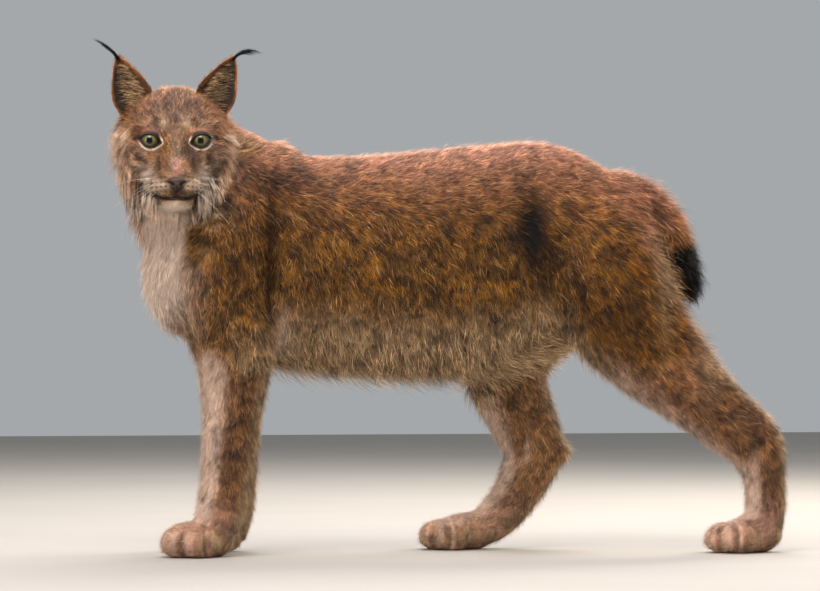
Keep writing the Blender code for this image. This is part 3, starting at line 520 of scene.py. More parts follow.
# Lie of the coat.
# On a live lynx every hair points away from the nose, back along the trunk and down the legs. Guide lines
# give that way, how long the hair is and how far its tip stands off, and the hide between them blends them.
# Each line: zone, the hair's length, its rise as a share of that, and places. These lie on both sides
BODY_LINES = {
    "back": ("back", 0.0160, 0.38,
             ((-0.36, 0.01, 0.69), (-0.30, 0.0, 0.64), (-0.22, 0.0, 0.60), (-0.05, 0.0, 0.605),
              (0.10, 0.0, 0.615), (0.20, 0.0, 0.60), (0.27, 0.0, 0.56))),
    "back_side": ("back", 0.0160, 0.38,
                  ((-0.25, 0.07, 0.58), (-0.05, 0.08, 0.575), (0.10, 0.075, 0.575), (0.22, 0.06, 0.54))),
    "neck_side": ("neck", 0.0210, 0.42,
                  ((-0.37, 0.06, 0.66), (-0.33, 0.09, 0.60), (-0.27, 0.105, 0.54), (-0.20, 0.115, 0.48))),
    "throat": ("neck", 0.0270, 0.42,
               ((-0.43, 0.0, 0.56), (-0.455, 0.0, 0.48), (-0.47, 0.0, 0.42), (-0.44, 0.0, 0.35))),
    "chest": ("neck", 0.0220, 0.40, ((-0.42, 0.05, 0.52), (-0.42, 0.06, 0.44), (-0.40, 0.06, 0.36))),
    "brisket": ("neck", 0.020, 0.40, ((-0.44, 0.0, 0.35), (-0.38, 0.0, 0.29), (-0.30, 0.0, 0.26))),
    "shoulder": ("neck", 0.0160, 0.38,
                 ((-0.33, 0.10, 0.56), (-0.32, 0.11, 0.48), (-0.31, 0.11, 0.38), (-0.31, 0.105, 0.31))),
    "flank_high": ("flank", 0.0160, 0.40,
                   ((-0.22, 0.10, 0.56), (-0.05, 0.11, 0.535), (0.10, 0.11, 0.53), (0.20, 0.09, 0.51))),
    "flank_first": ("flank", 0.0165, 0.42,
                    ((-0.24, 0.11, 0.50), (-0.215, 0.115, 0.40), (-0.205, 0.10, 0.31))),
    "flank_fore": ("flank", 0.0165, 0.42, ((-0.19, 0.11, 0.50), (-0.145, 0.115, 0.40), (-0.130, 0.10, 0.31))),
    "flank_middle": ("flank", 0.0170, 0.42,
                     ((-0.10, 0.11, 0.50), (-0.06, 0.115, 0.40), (-0.050, 0.10, 0.31))),
    "flank_hind": ("flank", 0.0170, 0.42, ((-0.01, 0.11, 0.50), (0.03, 0.105, 0.40), (0.040, 0.09, 0.31))),
    "flank_last": ("flank", 0.0170, 0.42, ((0.08, 0.105, 0.48), (0.10, 0.10, 0.40), (0.110, 0.09, 0.32))),
    "fringe": ("belly", 0.0270, 0.42, ((-0.18, 0.085, 0.31), (-0.175, 0.070, 0.28), (-0.170, 0.050, 0.255))),
    "fringe_middle": ("belly", 0.0270, 0.42,
                      ((-0.08, 0.085, 0.31), (-0.075, 0.070, 0.28), (-0.070, 0.050, 0.255))),
    "fringe_hind": ("belly", 0.0270, 0.42,
                    ((0.03, 0.085, 0.31), (0.035, 0.070, 0.28), (0.040, 0.050, 0.265))),
    "belly": ("belly", 0.028, 0.70,
              ((-0.28, 0.0, 0.27), (-0.10, 0.0, 0.26), (0.08, 0.0, 0.27), (0.16, 0.0, 0.31))),
    "haunch": ("flank", 0.0165, 0.42,
               ((0.16, 0.09, 0.54), (0.21, 0.10, 0.46), (0.27, 0.10, 0.38), (0.31, 0.10, 0.32))),
    "seat": ("flank", 0.0220, 0.75,
             ((0.28, 0.03, 0.53), (0.31, 0.05, 0.47), (0.33, 0.07, 0.40), (0.36, 0.08, 0.33))),
    "tail": ("tail", 0.0190, 0.60,
             ((0.26, 0.0, 0.536), (0.306, 0.0, 0.521), (0.336, 0.0, 0.502), (0.355, 0.0, 0.472),
              (0.368, 0.0, 0.440), (0.381, 0.0, 0.398), (0.386, 0.0, 0.378))),
}
# Legs and feet, each with a line of its own
LIMB_LINES = {
    "foreleg_left": ("forelegs", 0.0125, 0.55,
                     ((-0.318, -0.076, 0.300), (-0.324, -0.076, 0.220), (-0.332, -0.076, 0.150),
                      (-0.340, -0.076, 0.085))),
    "foreleg_right": ("forelegs", 0.0125, 0.55,
                      ((-0.314, 0.076, 0.300), (-0.306, 0.076, 0.220), (-0.305, 0.076, 0.150),
                       (-0.306, 0.076, 0.085))),
    "hindleg_left": ("hindlegs", 0.0130, 0.55,
                     ((0.285, -0.080, 0.320), (0.366, -0.084, 0.246), (0.420, -0.084, 0.200),
                      (0.466, -0.084, 0.160), (0.480, -0.084, 0.080))),
    "hindleg_right": ("hindlegs", 0.0130, 0.55,
                      ((0.125, 0.080, 0.320), (0.124, 0.084, 0.240), (0.146, 0.084, 0.190),
                       (0.160, 0.084, 0.142), (0.120, 0.084, 0.075))),
    "forepaw_left": ("feet", 0.0080, 0.56,
                     ((-0.345, -0.076, 0.055), (-0.375, -0.068, 0.040), (-0.415, -0.052, 0.018))),
    "forepaw_right": ("feet", 0.0080, 0.56,
                      ((-0.309, 0.076, 0.052), (-0.335, 0.076, 0.038), (-0.385, 0.074, 0.016))),
    "hindpaw_left": ("feet", 0.0080, 0.56,
                     ((0.480, -0.084, 0.050), (0.450, -0.080, 0.036), (0.400, -0.072, 0.016))),
    "hindpaw_right": ("feet", 0.0080, 0.56,
                      ((0.095, 0.084, 0.045), (0.050, 0.084, 0.034), (0.000, 0.078, 0.016))),
}
# On the head's own axes, and on both sides
HEAD_LINES = {
    "bridge": ("head", 0.0032, 0.25, ((0.0, 0.055, -0.045), (0.0, 0.03, -0.01), (0.0, 0.01, 0.03))),
    "crown": ("head", 0.0110, 0.50,
              ((0.0, 0.01, 0.03), (0.0, -0.03, 0.075), (0.0, -0.08, 0.08), (0.0, -0.12, 0.04))),
    "brow": ("head", 0.0065, 0.36, ((0.022, 0.02, 0.0), (0.030, 0.0, 0.03), (0.035, -0.04, 0.06))),
    "under_eye": ("head", 0.0060, 0.36,
                  ((0.015, 0.03, -0.03), (0.035, 0.01, -0.03), (0.060, -0.02, -0.03), (0.080, -0.05, -0.04))),
    "pad": ("head", 0.0050, 0.30, ((0.010, 0.050, -0.062), (0.025, 0.040, -0.068), (0.036, 0.020, -0.070))),
    "cheek": ("head", 0.0130, 0.42,
              ((0.036, 0.02, -0.072), (0.050, 0.00, -0.078), (0.065, -0.02, -0.085), (0.080, -0.04, -0.11))),
    "chin": ("head", 0.0080, 0.36,
             ((0.0, 0.045, -0.09), (0.0, 0.03, -0.105), (0.0, 0.0, -0.12), (0.0, -0.03, -0.15))),
    "jaw": ("head", 0.0150, 0.42, ((0.02, 0.03, -0.098), (0.035, 0.0, -0.115), (0.05, -0.03, -0.14))),
    "temple": ("head", 0.0160, 0.45, ((0.055, 0.0, 0.01), (0.075, -0.03, 0.01), (0.085, -0.06, 0.0))),
    "nape": ("head", 0.0220, 0.45, ((0.05, -0.08, 0.02), (0.06, -0.11, -0.03), (0.06, -0.13, -0.08))),
}
ZONES = ("back", "neck", "flank", "belly", "tail", "forelegs", "hindlegs", "feet", "head")
GUIDE_STEP = 0.022


def guide_rows():
    """Every guide line cut into steps: its places, its ways, and its zone, length and rise at each place."""
    lines = []
    for zone, length, rise, line in BODY_LINES.values():
        line = np.array(line)
        sides = (1, -1) if np.abs(line[:, 1]).max() > 0.02 else (1,)
        lines += [(zone, length, rise, line * (1, s, 1) + measured) for s in sides]
    for zone, length, rise, line in LIMB_LINES.values():
        lines.append((zone, length, rise, np.array(line) + measured))
    for zone, length, rise, line in HEAD_LINES.values():
        line = np.array(line)
        sides = (1, -1) if np.abs(line[:, 0]).max() > 0.005 else (1,)
        lines += [(zone, length, rise, from_head(line * (s, 1, 1))) for s in sides]
    places, ways, facts = [], [], []
    for zone, length, rise, line in lines:
        count = max(4, int(np.linalg.norm(np.diff(line, axis=0), axis=1).sum() / GUIDE_STEP))
        place = spread(line, count)
        way = np.gradient(place, axis=0)
        places.append(place)
        ways.append(way / np.linalg.norm(way, axis=1)[:, None])
        facts.append(np.tile(np.append((length, rise), np.arange(len(ZONES)) == ZONES.index(zone)),
                             (count, 1)))
    return np.vstack(places), np.vstack(ways), np.vstack(facts)


guide_at, guide_way, guide_facts = guide_rows()


def unit(ways):
    """Ways made 1 long."""
    return ways / np.maximum(np.linalg.norm(ways, axis=1), 1e-9)[:, None]


def flat_on(ways, normals):
    """Ways laid flat on the skin and made 1 long."""
    return unit(ways - normals * np.sum(ways * normals, axis=1)[:, None])


def read_guides(points, normals):
    """Way, length, rise and share of each zone at each point: the guides' own, weighed by
    1 / (distance^2 + 0.018^2)^2.5, with the way laid flat on the skin."""
    ways, facts = np.zeros((len(points), 3)), np.zeros((len(points), 2 + len(ZONES)))
    for part in np.array_split(np.arange(len(points)), max(1, len(points) // 4000)):
        gap = (np.sum(points[part] ** 2, axis=1)[:, None] + np.sum(guide_at**2, axis=1)
               - 2 * points[part] @ guide_at.T)
        weight = (np.maximum(gap, 0) + 0.018**2) ** -2.5
        weight /= weight.sum(1)[:, None]
        ways[part] = weight @ guide_way
        facts[part] = weight @ guide_facts
    return flat_on(ways, normals), facts[:, 0], facts[:, 1], facts[:, 2:]


skin_points, skin_normals = corners(skin)
skin_ways, skin_lengths, skin_rises, zone_shares = read_guides(skin_points, skin_normals)
skin_zones = zone_shares.argmax(1)

# Markings.
# Rust above, sand on the flanks and legs, pale below, with dark spots that are densest on the legs. Painted
# shade darkens the body's creases and hollows, the groove at the root of the tail, the toes and the upper
# lids, and painted light pales the top of the back, the hind edge of the haunch and the legs' front and hind
# edges. Skin and tufts take the same shares of each colour at one place, so one pattern runs through the
# whole coat.
TONES = ("rust", "pale", "dark", "black", "grey", "pink", "white", "gold")
# How many dark spots there are, and half their length and half their width
SPOTS = 620
SPOT_LONG, SPOT_WIDE = 0.0066, 0.0042
# Marks of the body, with painted shade in its creases and hollows and painted light on its back and
# haunch: tone, share, middle and radii. Those well off the middle plane lie on both sides
BODY_MARKS_AND_PAINTED_LIGHT = (
    ("rust", 1.00, (0.00, 0.000, 0.610), (0.400, 0.170, 0.085)),
    # Painted sheen of the light from above, pink over the top of the back
    ("pink", 0.90, (-0.02, 0.000, 0.622), (0.360, 0.150, 0.070)),
    ("rust", 0.80, (0.27, 0.000, 0.540), (0.080, 0.090, 0.080)),
    # Painted sheen of the light from above, pink over the top of the rump
    ("pink", 0.40, (0.30, 0.000, 0.540), (0.070, 0.080, 0.060)),
    ("rust", 0.60, (-0.30, 0.000, 0.660), (0.080, 0.120, 0.090)),
    ("rust", 0.60, (0.355, 0.000, 0.500), (0.060, 0.060, 0.040)),
    ("gold", 0.50, (0.30, 0.110, 0.400), (0.070, 0.060, 0.140)),
    # Painted rim light, pale and pink, along the hind edge of the haunch and down the back of the thigh
    ("pale", 0.65, (0.318, 0.090, 0.400), (0.016, 0.050, 0.090)),
    ("pink", 0.45, (0.300, 0.090, 0.475), (0.018, 0.050, 0.040)),
    ("pale", 0.60, (0.385, 0.090, 0.285), (0.018, 0.050, 0.045)),
    # Painted shadow in the groove between the haunch and the root of the tail
    ("dark", 0.95, (0.322, 0.000, 0.472), (0.009, 0.040, 0.030)),
    ("dark", 0.95, (0.336, 0.000, 0.440), (0.009, 0.040, 0.030)),
    ("white", 0.80, (-0.250, 0.105, 0.322), (0.014, 0.050, 0.036)),
    ("pink", 0.50, (-0.250, 0.105, 0.322), (0.016, 0.050, 0.040)),
    ("gold", 0.40, (0.230, 0.110, 0.350), (0.060, 0.050, 0.070)),
    # Painted rim light, gold and pink, on the hind edge of the haunch and the back of the thigh
    ("gold", 0.50, (0.345, 0.060, 0.360), (0.030, 0.060, 0.120)),
    ("pink", 0.50, (0.315, 0.040, 0.450), (0.026, 0.050, 0.080)),
    ("pink", 0.35, (0.370, 0.080, 0.300), (0.030, 0.050, 0.060)),
    # Painted shade in the crease behind the shoulder and the elbow, and the broad shadow above it
    ("dark", 0.80, (-0.274, 0.105, 0.500), (0.011, 0.050, 0.055)),
    ("dark", 0.90, (-0.272, 0.105, 0.405), (0.008, 0.050, 0.065)),
    ("dark", 0.45, (-0.255, 0.100, 0.555), (0.026, 0.060, 0.022)),
    # Painted shade in the hollow of the flank, in front of the thigh and in the fold of the stifle
    ("dark", 1.25, (0.121, 0.100, 0.487), (0.019, 0.050, 0.048)),
    ("dark", 0.70, (0.145, 0.100, 0.430), (0.017, 0.050, 0.045)),
    ("dark", 0.60, (0.175, 0.100, 0.365), (0.013, 0.050, 0.040)),
    ("dark", 0.30, (0.080, 0.110, 0.470), (0.050, 0.050, 0.040)),
    ("dark", 0.22, (-0.33, 0.110, 0.430), (0.050, 0.050, 0.070)),
    ("dark", 0.58, (0.240, 0.110, 0.355), (0.060, 0.050, 0.070)),
    ("grey", 0.40, (-0.34, -0.100, 0.600), (0.050, 0.060, 0.060)),
    ("pink", 1.30, (-0.440, -0.020, 0.410), (0.060, 0.085, 0.130)),
    ("white", 1.45, (-0.430, -0.070, 0.405), (0.036, 0.065, 0.085)),
    ("white", 1.20, (-0.436, -0.060, 0.500), (0.030, 0.040, 0.050)),
    # Painted shadow, black in the hollow of the flank
    ("black", 1.50, (0.121, 0.100, 0.487), (0.015, 0.050, 0.040)),
    # Painted shade above the crease behind the shoulder
    ("dark", 0.40, (-0.225, 0.080, 0.565), (0.030, 0.050, 0.022)),
    # Painted shade in the hollow over the hock
    ("dark", 0.55, (0.461, -0.100, 0.170), (0.005, 0.050, 0.026)),
)
# Marks of the face, on both sides: tone, share, middle and half sizes, across and up on the head's axes
FACE_MARKS = (
    ("pink", 0.65, (0.000, -0.043), (0.0125, 0.0170)),
    ("grey", 0.60, (0.000, -0.036), (0.0120, 0.0160)),
    ("rust", 0.70, (0.0165, -0.043), (0.0055, 0.0160)),
    ("dark", 0.70, (0.0245, -0.032), (0.0026, 0.0170)),
    ("rust", 0.65, (0.0350, -0.023), (0.0150, 0.0060)),
    ("dark", 0.40, (0.0340, -0.0265), (0.0130, 0.0036)),
    ("rust", 0.85, (0.0400, 0.0165), (0.0180, 0.0055)),
    ("dark", 0.95, (0.0590, 0.0035), (0.0130, 0.0024)),
    ("rust", 0.85, (0.0590, -0.0045), (0.0090, 0.0055)),
    ("pink", 0.60, (0.0680, -0.0100), (0.0130, 0.0120)),
    ("dark", 0.35, (0.0000, 0.0040), (0.0110, 0.0180)),
    ("grey", 0.50, (0.0000, 0.0000), (0.0140, 0.0220)),
    ("dark", 0.45, (0.0000, 0.0300), (0.0045, 0.0110)),
    ("dark", 0.65, (0.0290, 0.0280), (0.0040, 0.0080)),
    ("dark", 0.65, (0.0800, -0.0450), (0.0050, 0.0220)),
    ("dark", 0.60, (0.0630, -0.0800), (0.0120, 0.0065)),
    ("grey", 0.75, (0.0580, -0.0400), (0.0290, 0.0300)),
    ("pink", 0.35, (0.0620, -0.0250), (0.0200, 0.0140)),
    ("grey", 0.30, (0.0000, 0.0450), (0.0400, 0.0200)),
    ("dark", 0.34, (0.0000, 0.0500), (0.0500, 0.0260)),
    ("grey", 0.30, (0.0000, 0.0550), (0.0500, 0.0300)),
    ("dark", 0.14, (0.0000, 0.0300), (0.0600, 0.0500)),
    ("dark", 0.16, (0.0300, -0.0300), (0.0600, 0.0400)),
    ("pale", 1.00, (0.0165, 0.0245), (0.0070, 0.0085)),
    ("white", 0.30, (0.0165, 0.0245), (0.0042, 0.0058)),
    ("pale", 0.60, (0.0410, 0.0260), (0.0090, 0.0028)),
    ("pale", 0.80, (0.0270, -0.0640), (0.0190, 0.0140)),
    ("white", 0.90, (0.0410, -0.0520), (0.0090, 0.0130)),
    ("pink", 0.50, (0.0410, -0.0500), (0.0100, 0.0140)),
    ("white", 0.45, (0.0250, -0.0680), (0.0160, 0.0090)),
    ("pale", 0.85, (0.0000, -0.0960), (0.0360, 0.0080)),
    ("white", 0.20, (0.0000, -0.0960), (0.0260, 0.0060)),
    ("white", 1.00, (0.0000, -0.1080), (0.0330, 0.0120)),
)
# The white of the throat: where its middle lies across the head, and half its width
THROAT_X, THROAT_HALF = 0.013, 0.030
# Roots of the whiskers, four rows of four on each side: across and up
WHISKER_ROWS = [(0.0165 + 0.0062 * k, -0.0545 - 0.0066 * r - 0.0008 * k) for r in range(4) for k in range(4)]


def soft_oval(points, middle, radii):
    """1 at the middle, falling off as exp(-length(q / radii)^2)."""
    q = (points - middle) / radii
    return np.exp(-np.sum(q * q, axis=1))


def spot_places():
    """Seeded places for the spots on the skin, most on the legs, and the ways that they run."""
    chance = np.random.default_rng(21)
    x, y, z = (skin_points - measured).T
    leg = np.isin(skin_zones, [ZONES.index("forelegs"), ZONES.index("hindlegs")])
    weight = np.where(leg, 1.0, 0.0) * np.where(skin_zones == ZONES.index("forelegs"), 0.45, 1.0)
    weight += (skin_zones == ZONES.index("flank")) * (0.16 + 0.90 * step(x, 0.17, 0.24) * step(z, 0.46, 0.38))
    weight += (skin_zones == ZONES.index("neck")) * 0.25 * step(np.abs(y), 0.06, 0.10)
    weight += (skin_zones == ZONES.index("back")) * 0.08
    picks = chance.choice(len(skin_points), SPOTS, p=weight / weight.sum())
    return skin_points[picks], skin_ways[picks], chance.uniform(0.6, 1.25, SPOTS)


spot_at, spot_way, spot_size = spot_places()


def spot_share(points):
    """The darkest spot's share: exp(-(along / long)^4 - (aside / wide)^4), where along is measured on the
    spot's way. The points are sorted by x, so that each spot reads only the slice that it lies in."""
    order = np.argsort(points[:, 0])
    sorted_x = points[order, 0]
    share = np.zeros(len(points))
    for place, way, size in zip(spot_at, spot_way, spot_size):
        first, last = np.searchsorted(sorted_x, (place[0] - 2 * SPOT_LONG, place[0] + 2 * SPOT_LONG))
        near = order[first:last]
        gap = points[near] - place
        along = gap @ way
        aside = np.maximum(np.sum(gap * gap, axis=1) - along**2, 0)
        power = (along / (SPOT_LONG * size)) ** 4 + (aside / (SPOT_WIDE * size) ** 2) ** 2
        share[near] = np.maximum(share[near], np.exp(-power))
    return share


def mark_body(share, points, normals, zones, hollow, head):
    """Adds the body's tones: marks, with painted shade in the creases and hollows and painted light on the
    back and haunch, pale underside, legs with their spots and bars and painted rim light on their front and
    hind edges, painted shade between the toes, and the tail.
    """
    place = points - measured
    x, y, z = place.T
    leg = zones[:, [ZONES.index(zone) for zone in ("forelegs", "hindlegs", "feet")]].sum(1)
    leg = step(leg, 0.25, 0.75)
    for tone, amount, middle, radii in BODY_MARKS_AND_PAINTED_LIGHT:
        sides = (1, -1) if abs(middle[1]) > 0.05 else (1,)
        for s in sides:
            share[tone] += amount * soft_oval(place, np.array(middle) * (1, s, 1), radii) * (1 - head)
    groin = 0.035 * np.exp(-(((x - 0.15) / 0.06) ** 2))
    # The pale underside has a ragged edge
    ragged = (0.010 * np.sin(x * 63 + y * 40) + 0.012 * np.sin(x * 171 + z * 30)
              + 0.008 * np.sin(x * 397 - y * 90))
    under = step(z + 0.7 * ragged, 0.392 + groin, 0.250 + groin) * step(x, 0.225, 0.175)
    share["pale"] += 0.85 * under * (1 - leg) * (1 - head) * step(x, -0.36, -0.30)
    share["pale"] += 0.80 * step(normals[:, 2], -0.1, -0.7) * (1 - leg) * (1 - head)
    # On the legs, the pale, pink, white and gold of the sides that face forward and back is painted rim
    # light; the paler inner sides and feet are their own colour
    inward = step(-np.sign(y) * normals[:, 1], 0.15, 0.75)
    forward, rear_rim_light = step(-normals[:, 0], 0.12, 0.70), step(normals[:, 0], 0.30, 0.85)
    share["pale"] += leg * (0.18 * inward + 0.30 * forward + 0.80 * rear_rim_light + 0.15 * step(z, 0.075, 0.035))
    share["dark"] += (0.65 * spot_share(points) * (1 - 0.8 * share["pale"].clip(0, 1)) * (1 - head)
                      * (1 - leg * inward))
    # Dark bars run across the forelegs
    bars = np.sin(z * 300 + 1.3 * np.sin(x * 60) + 0.9 * np.sin(z * 97)) * 0.5 + 0.5
    fore = zones[:, ZONES.index("forelegs")] + 0.3 * zones[:, ZONES.index("feet")]
    barred = 0.60 * leg * fore * bars**3 * step(normals[:, 0], -0.40, 0.20) * step(z, 0.06, 0.12)
    share["dark"] += barred * (1 - share["pale"].clip(0, 1))
    # Painted rim light in gold on the hind-facing sides of the legs, with the inner sides' own gold
    share["gold"] += 0.30 * leg * (step(normals[:, 0], 0.1, 0.7) + inward)
    share["pink"] += leg * (0.20 + 0.75 * forward + 0.40 * step(z, 0.10, 0.04))
    # Painted shade in the grooves between the toes
    share["dark"] += 0.28 * hollow * step(z, 0.046, 0.040)
    # Painted rim light in white on the legs' front edges
    share["white"] += 0.62 * leg * forward * (1 - 0.6 * step(z, 0.070, 0.035))
    share["dark"] += 0.10 * leg * step(z, 0.10, 0.04)
    share["grey"] += 0.40 * leg * step(z, 0.10, 0.04)
    tail = step(zones[:, ZONES.index("tail")], 0.2, 0.5)
    share["black"] += tail * step(z - 0.40 * (x - 0.364), 0.473, 0.461)


def mark_face(share, points, head):
    """Adds the head's tones: marks, rims of eyes and mouth, streaks of the cheeks, and the throat."""
    flat = to_head(points)
    flat_x, flat_y, flat_z = np.abs(flat[:, 0]), flat[:, 1], flat[:, 2]
    face = head * step(flat_y, -0.060, -0.030)
    for tone, amount, (mark_x, mark_z), (wide, high) in FACE_MARKS:
        share[tone] += (face * amount * np.exp(-(((flat_x - mark_x) / wide) ** 2)
                                               - ((flat_z - mark_z) / high) ** 2))
    for mark_x, mark_z in WHISKER_ROWS:
        share["black"] += face * 1.1 * np.exp(-((flat_x - mark_x) ** 2 + (flat_z - mark_z) ** 2) / 0.0017**2)
    # A pale crescent lies under each eye and up its inner side, and a dark line of painted shade from the
    # upper lid over it
    margin = np.minimum(lid_margin(flat, 1), lid_margin(flat, -1))
    low_side = np.maximum(step(flat_z, 0.000, -0.006), step(flat_x, 0.0280, 0.0220)
                          * step(flat_z, 0.012, 0.004))
    share["white"] += face * np.exp(-(((margin - 0.0042) / 0.0015) ** 2)) * low_side
    share["black"] += face * 1.2 * np.exp(-(((margin - 0.0004) / 0.0020) ** 4))
    share["dark"] += face * 0.8 * np.exp(-(((margin - 0.0034) / 0.0016) ** 2)) * step(flat_z, 0.003, 0.007)
    lips_away = line_distance(flat * (1, 0, 1), mouth_flat)
    share["dark"] += face * 1.1 * np.exp(-((lips_away / 0.0028) ** 4)) * step(flat_y, 0.0, 0.01)
    # Hair of the cheeks lies in dark and pale streaks that run out from the muzzle
    out, turn = np.hypot(flat_x, flat_z + 0.045), np.arctan2(flat_z + 0.045, flat_x)
    streak = np.sin(turn * 21 + 2.4 * np.sin(out * 140 + turn * 5)
                    + 1.6 * np.sin(flat[:, 0] * 95 + flat_z * 170))
    cheek = head * step(out, 0.030, 0.046) * step(flat_z, 0.000, -0.016) * step(flat_y, -0.090, -0.060)
    cheek *= 1 - step(flat_z, -0.064, -0.078) * step(flat_x, 0.042, 0.028)
    share["dark"] += 0.40 * cheek * step(streak, 0.10, 0.85)
    share["pale"] += 0.36 * cheek * step(-streak, 0.10, 0.85)
    share["rust"] += head * 0.25 * step(flat_z, 0.0, 0.06)
    share["pink"] += head * 0.20 * step(flat_z, -0.01, 0.03)
    share["grey"] += head * 0.50 * step(flat_y, -0.02, -0.09) * step(flat_z, 0.05, -0.02)
    throat = step(np.abs(flat[:, 0] - THROAT_X), THROAT_HALF + 0.008, THROAT_HALF - 0.010)
    share["white"] += head * step(flat_z, -0.088, -0.108) * throat
    # On the left the pale hair ends under the jaw, and the neck's own brown begins
    beside = (1 - throat) * (1 - step(flat[:, 0], -0.012, -0.026) * step(flat_z, -0.100, -0.117))
    share["pale"] += 0.5 * head * step(flat_z, -0.088, -0.108) * beside
    share["grey"] += 0.5 * head * step(flat_z, -0.088, -0.108) * beside


def markings(points, normals, zones, hollow):
    """Shares of the eight tones at each point, a row each, from its place, its share of each zone, and how
    hollow the skin is there."""
    head = step(zones[:, ZONES.index("head")], 0.35, 0.75)
    share = {tone: np.zeros(len(points)) for tone in TONES}
    mark_body(share, points, normals, zones, hollow, head)
    mark_face(share, points, head)
    return np.stack([share[tone] for tone in TONES], 1).clip(0, 1)


def hollows(piece):
    """How hollow the skin is at each corner: 0 where it moves out by 0.1 mm or less, and 1 from 1 mm on, when
    each corner is put eight times to the mean of its neighbours."""
    edges = np.empty(2 * len(piece.data.edges), np.int32)
    piece.data.edges.foreach_get("vertices", edges)
    a, b = edges.reshape(-1, 2).T
    smooth, degree = skin_points.copy(), np.bincount(np.concatenate([a, b]), minlength=len(skin_points))
    rounds = 8
    for _ in range(rounds):
        smooth = np.stack([(np.bincount(a, smooth[b, k], len(smooth))
                            + np.bincount(b, smooth[a, k], len(smooth)))
                           / np.maximum(degree, 1) for k in range(3)], 1)
    return step(np.sum((smooth - skin_points) * skin_normals, axis=1), 0.0001, 0.0010)


def set_vectors(piece, name, values):
    """A point attribute of three numbers each."""
    layer = piece.data.attributes.new(name, "FLOAT_VECTOR", "POINT")
    layer.data.foreach_set("vector", np.asarray(values, np.float32).ravel())


def set_marks(piece, shares):
    """The eight shares as two colour attributes, marks and tones."""
    for name, part in (("marks", shares[:, :4]), ("tones", shares[:, 4:])):
        layer = piece.data.color_attributes.new(name, "FLOAT_COLOR", "POINT")
        layer.data.foreach_set("color", np.asarray(part, np.float32).ravel())


def hex_colour(code):
    """Linear colour from an sRGB hex code."""
    parts = np.array([int(code[k : k + 2], 16) for k in (1, 3, 5)]) / 255
    return (*np.where(parts <= 0.04045, parts / 12.92, ((parts + 0.055) / 1.055) ** 2.4), 1.0)


def new_material(name):
    """A material with its own empty tree and its output, as (material, tree, output)."""
    material = bpy.data.materials.new(name)
    material.use_nodes = True
    material.node_tree.nodes.clear()
    return material, material.node_tree, material.node_tree.nodes.new("ShaderNodeOutputMaterial")


def add(tree, kind, settings=(), links=()):
    """A node of a kind, with its settings by attribute or socket, and its sockets linked from other nodes'
    outputs."""
    node = tree.nodes.new(kind)
    for key, value in dict(settings).items():
        if isinstance(key, str) and hasattr(node, key):
            setattr(node, key, value)
        else:
            node.inputs[key].default_value = value
    for key, source in dict(links).items():
        tree.links.new(source, node.inputs[key])
    return node


COAT_COLOURS = {
    "base_dark": "#5A3512",
    "base_light": "#C38D4C",
    "rust": "#C58664",
    "gold": "#BC7A30",
    "grey": "#9A8878",
    "pink": "#E2B0A0",
    "pale": "#DDC09E",
    "white": "#F8E8DA",
    "dark": "#2A170C",
    "black": "#060505",
}


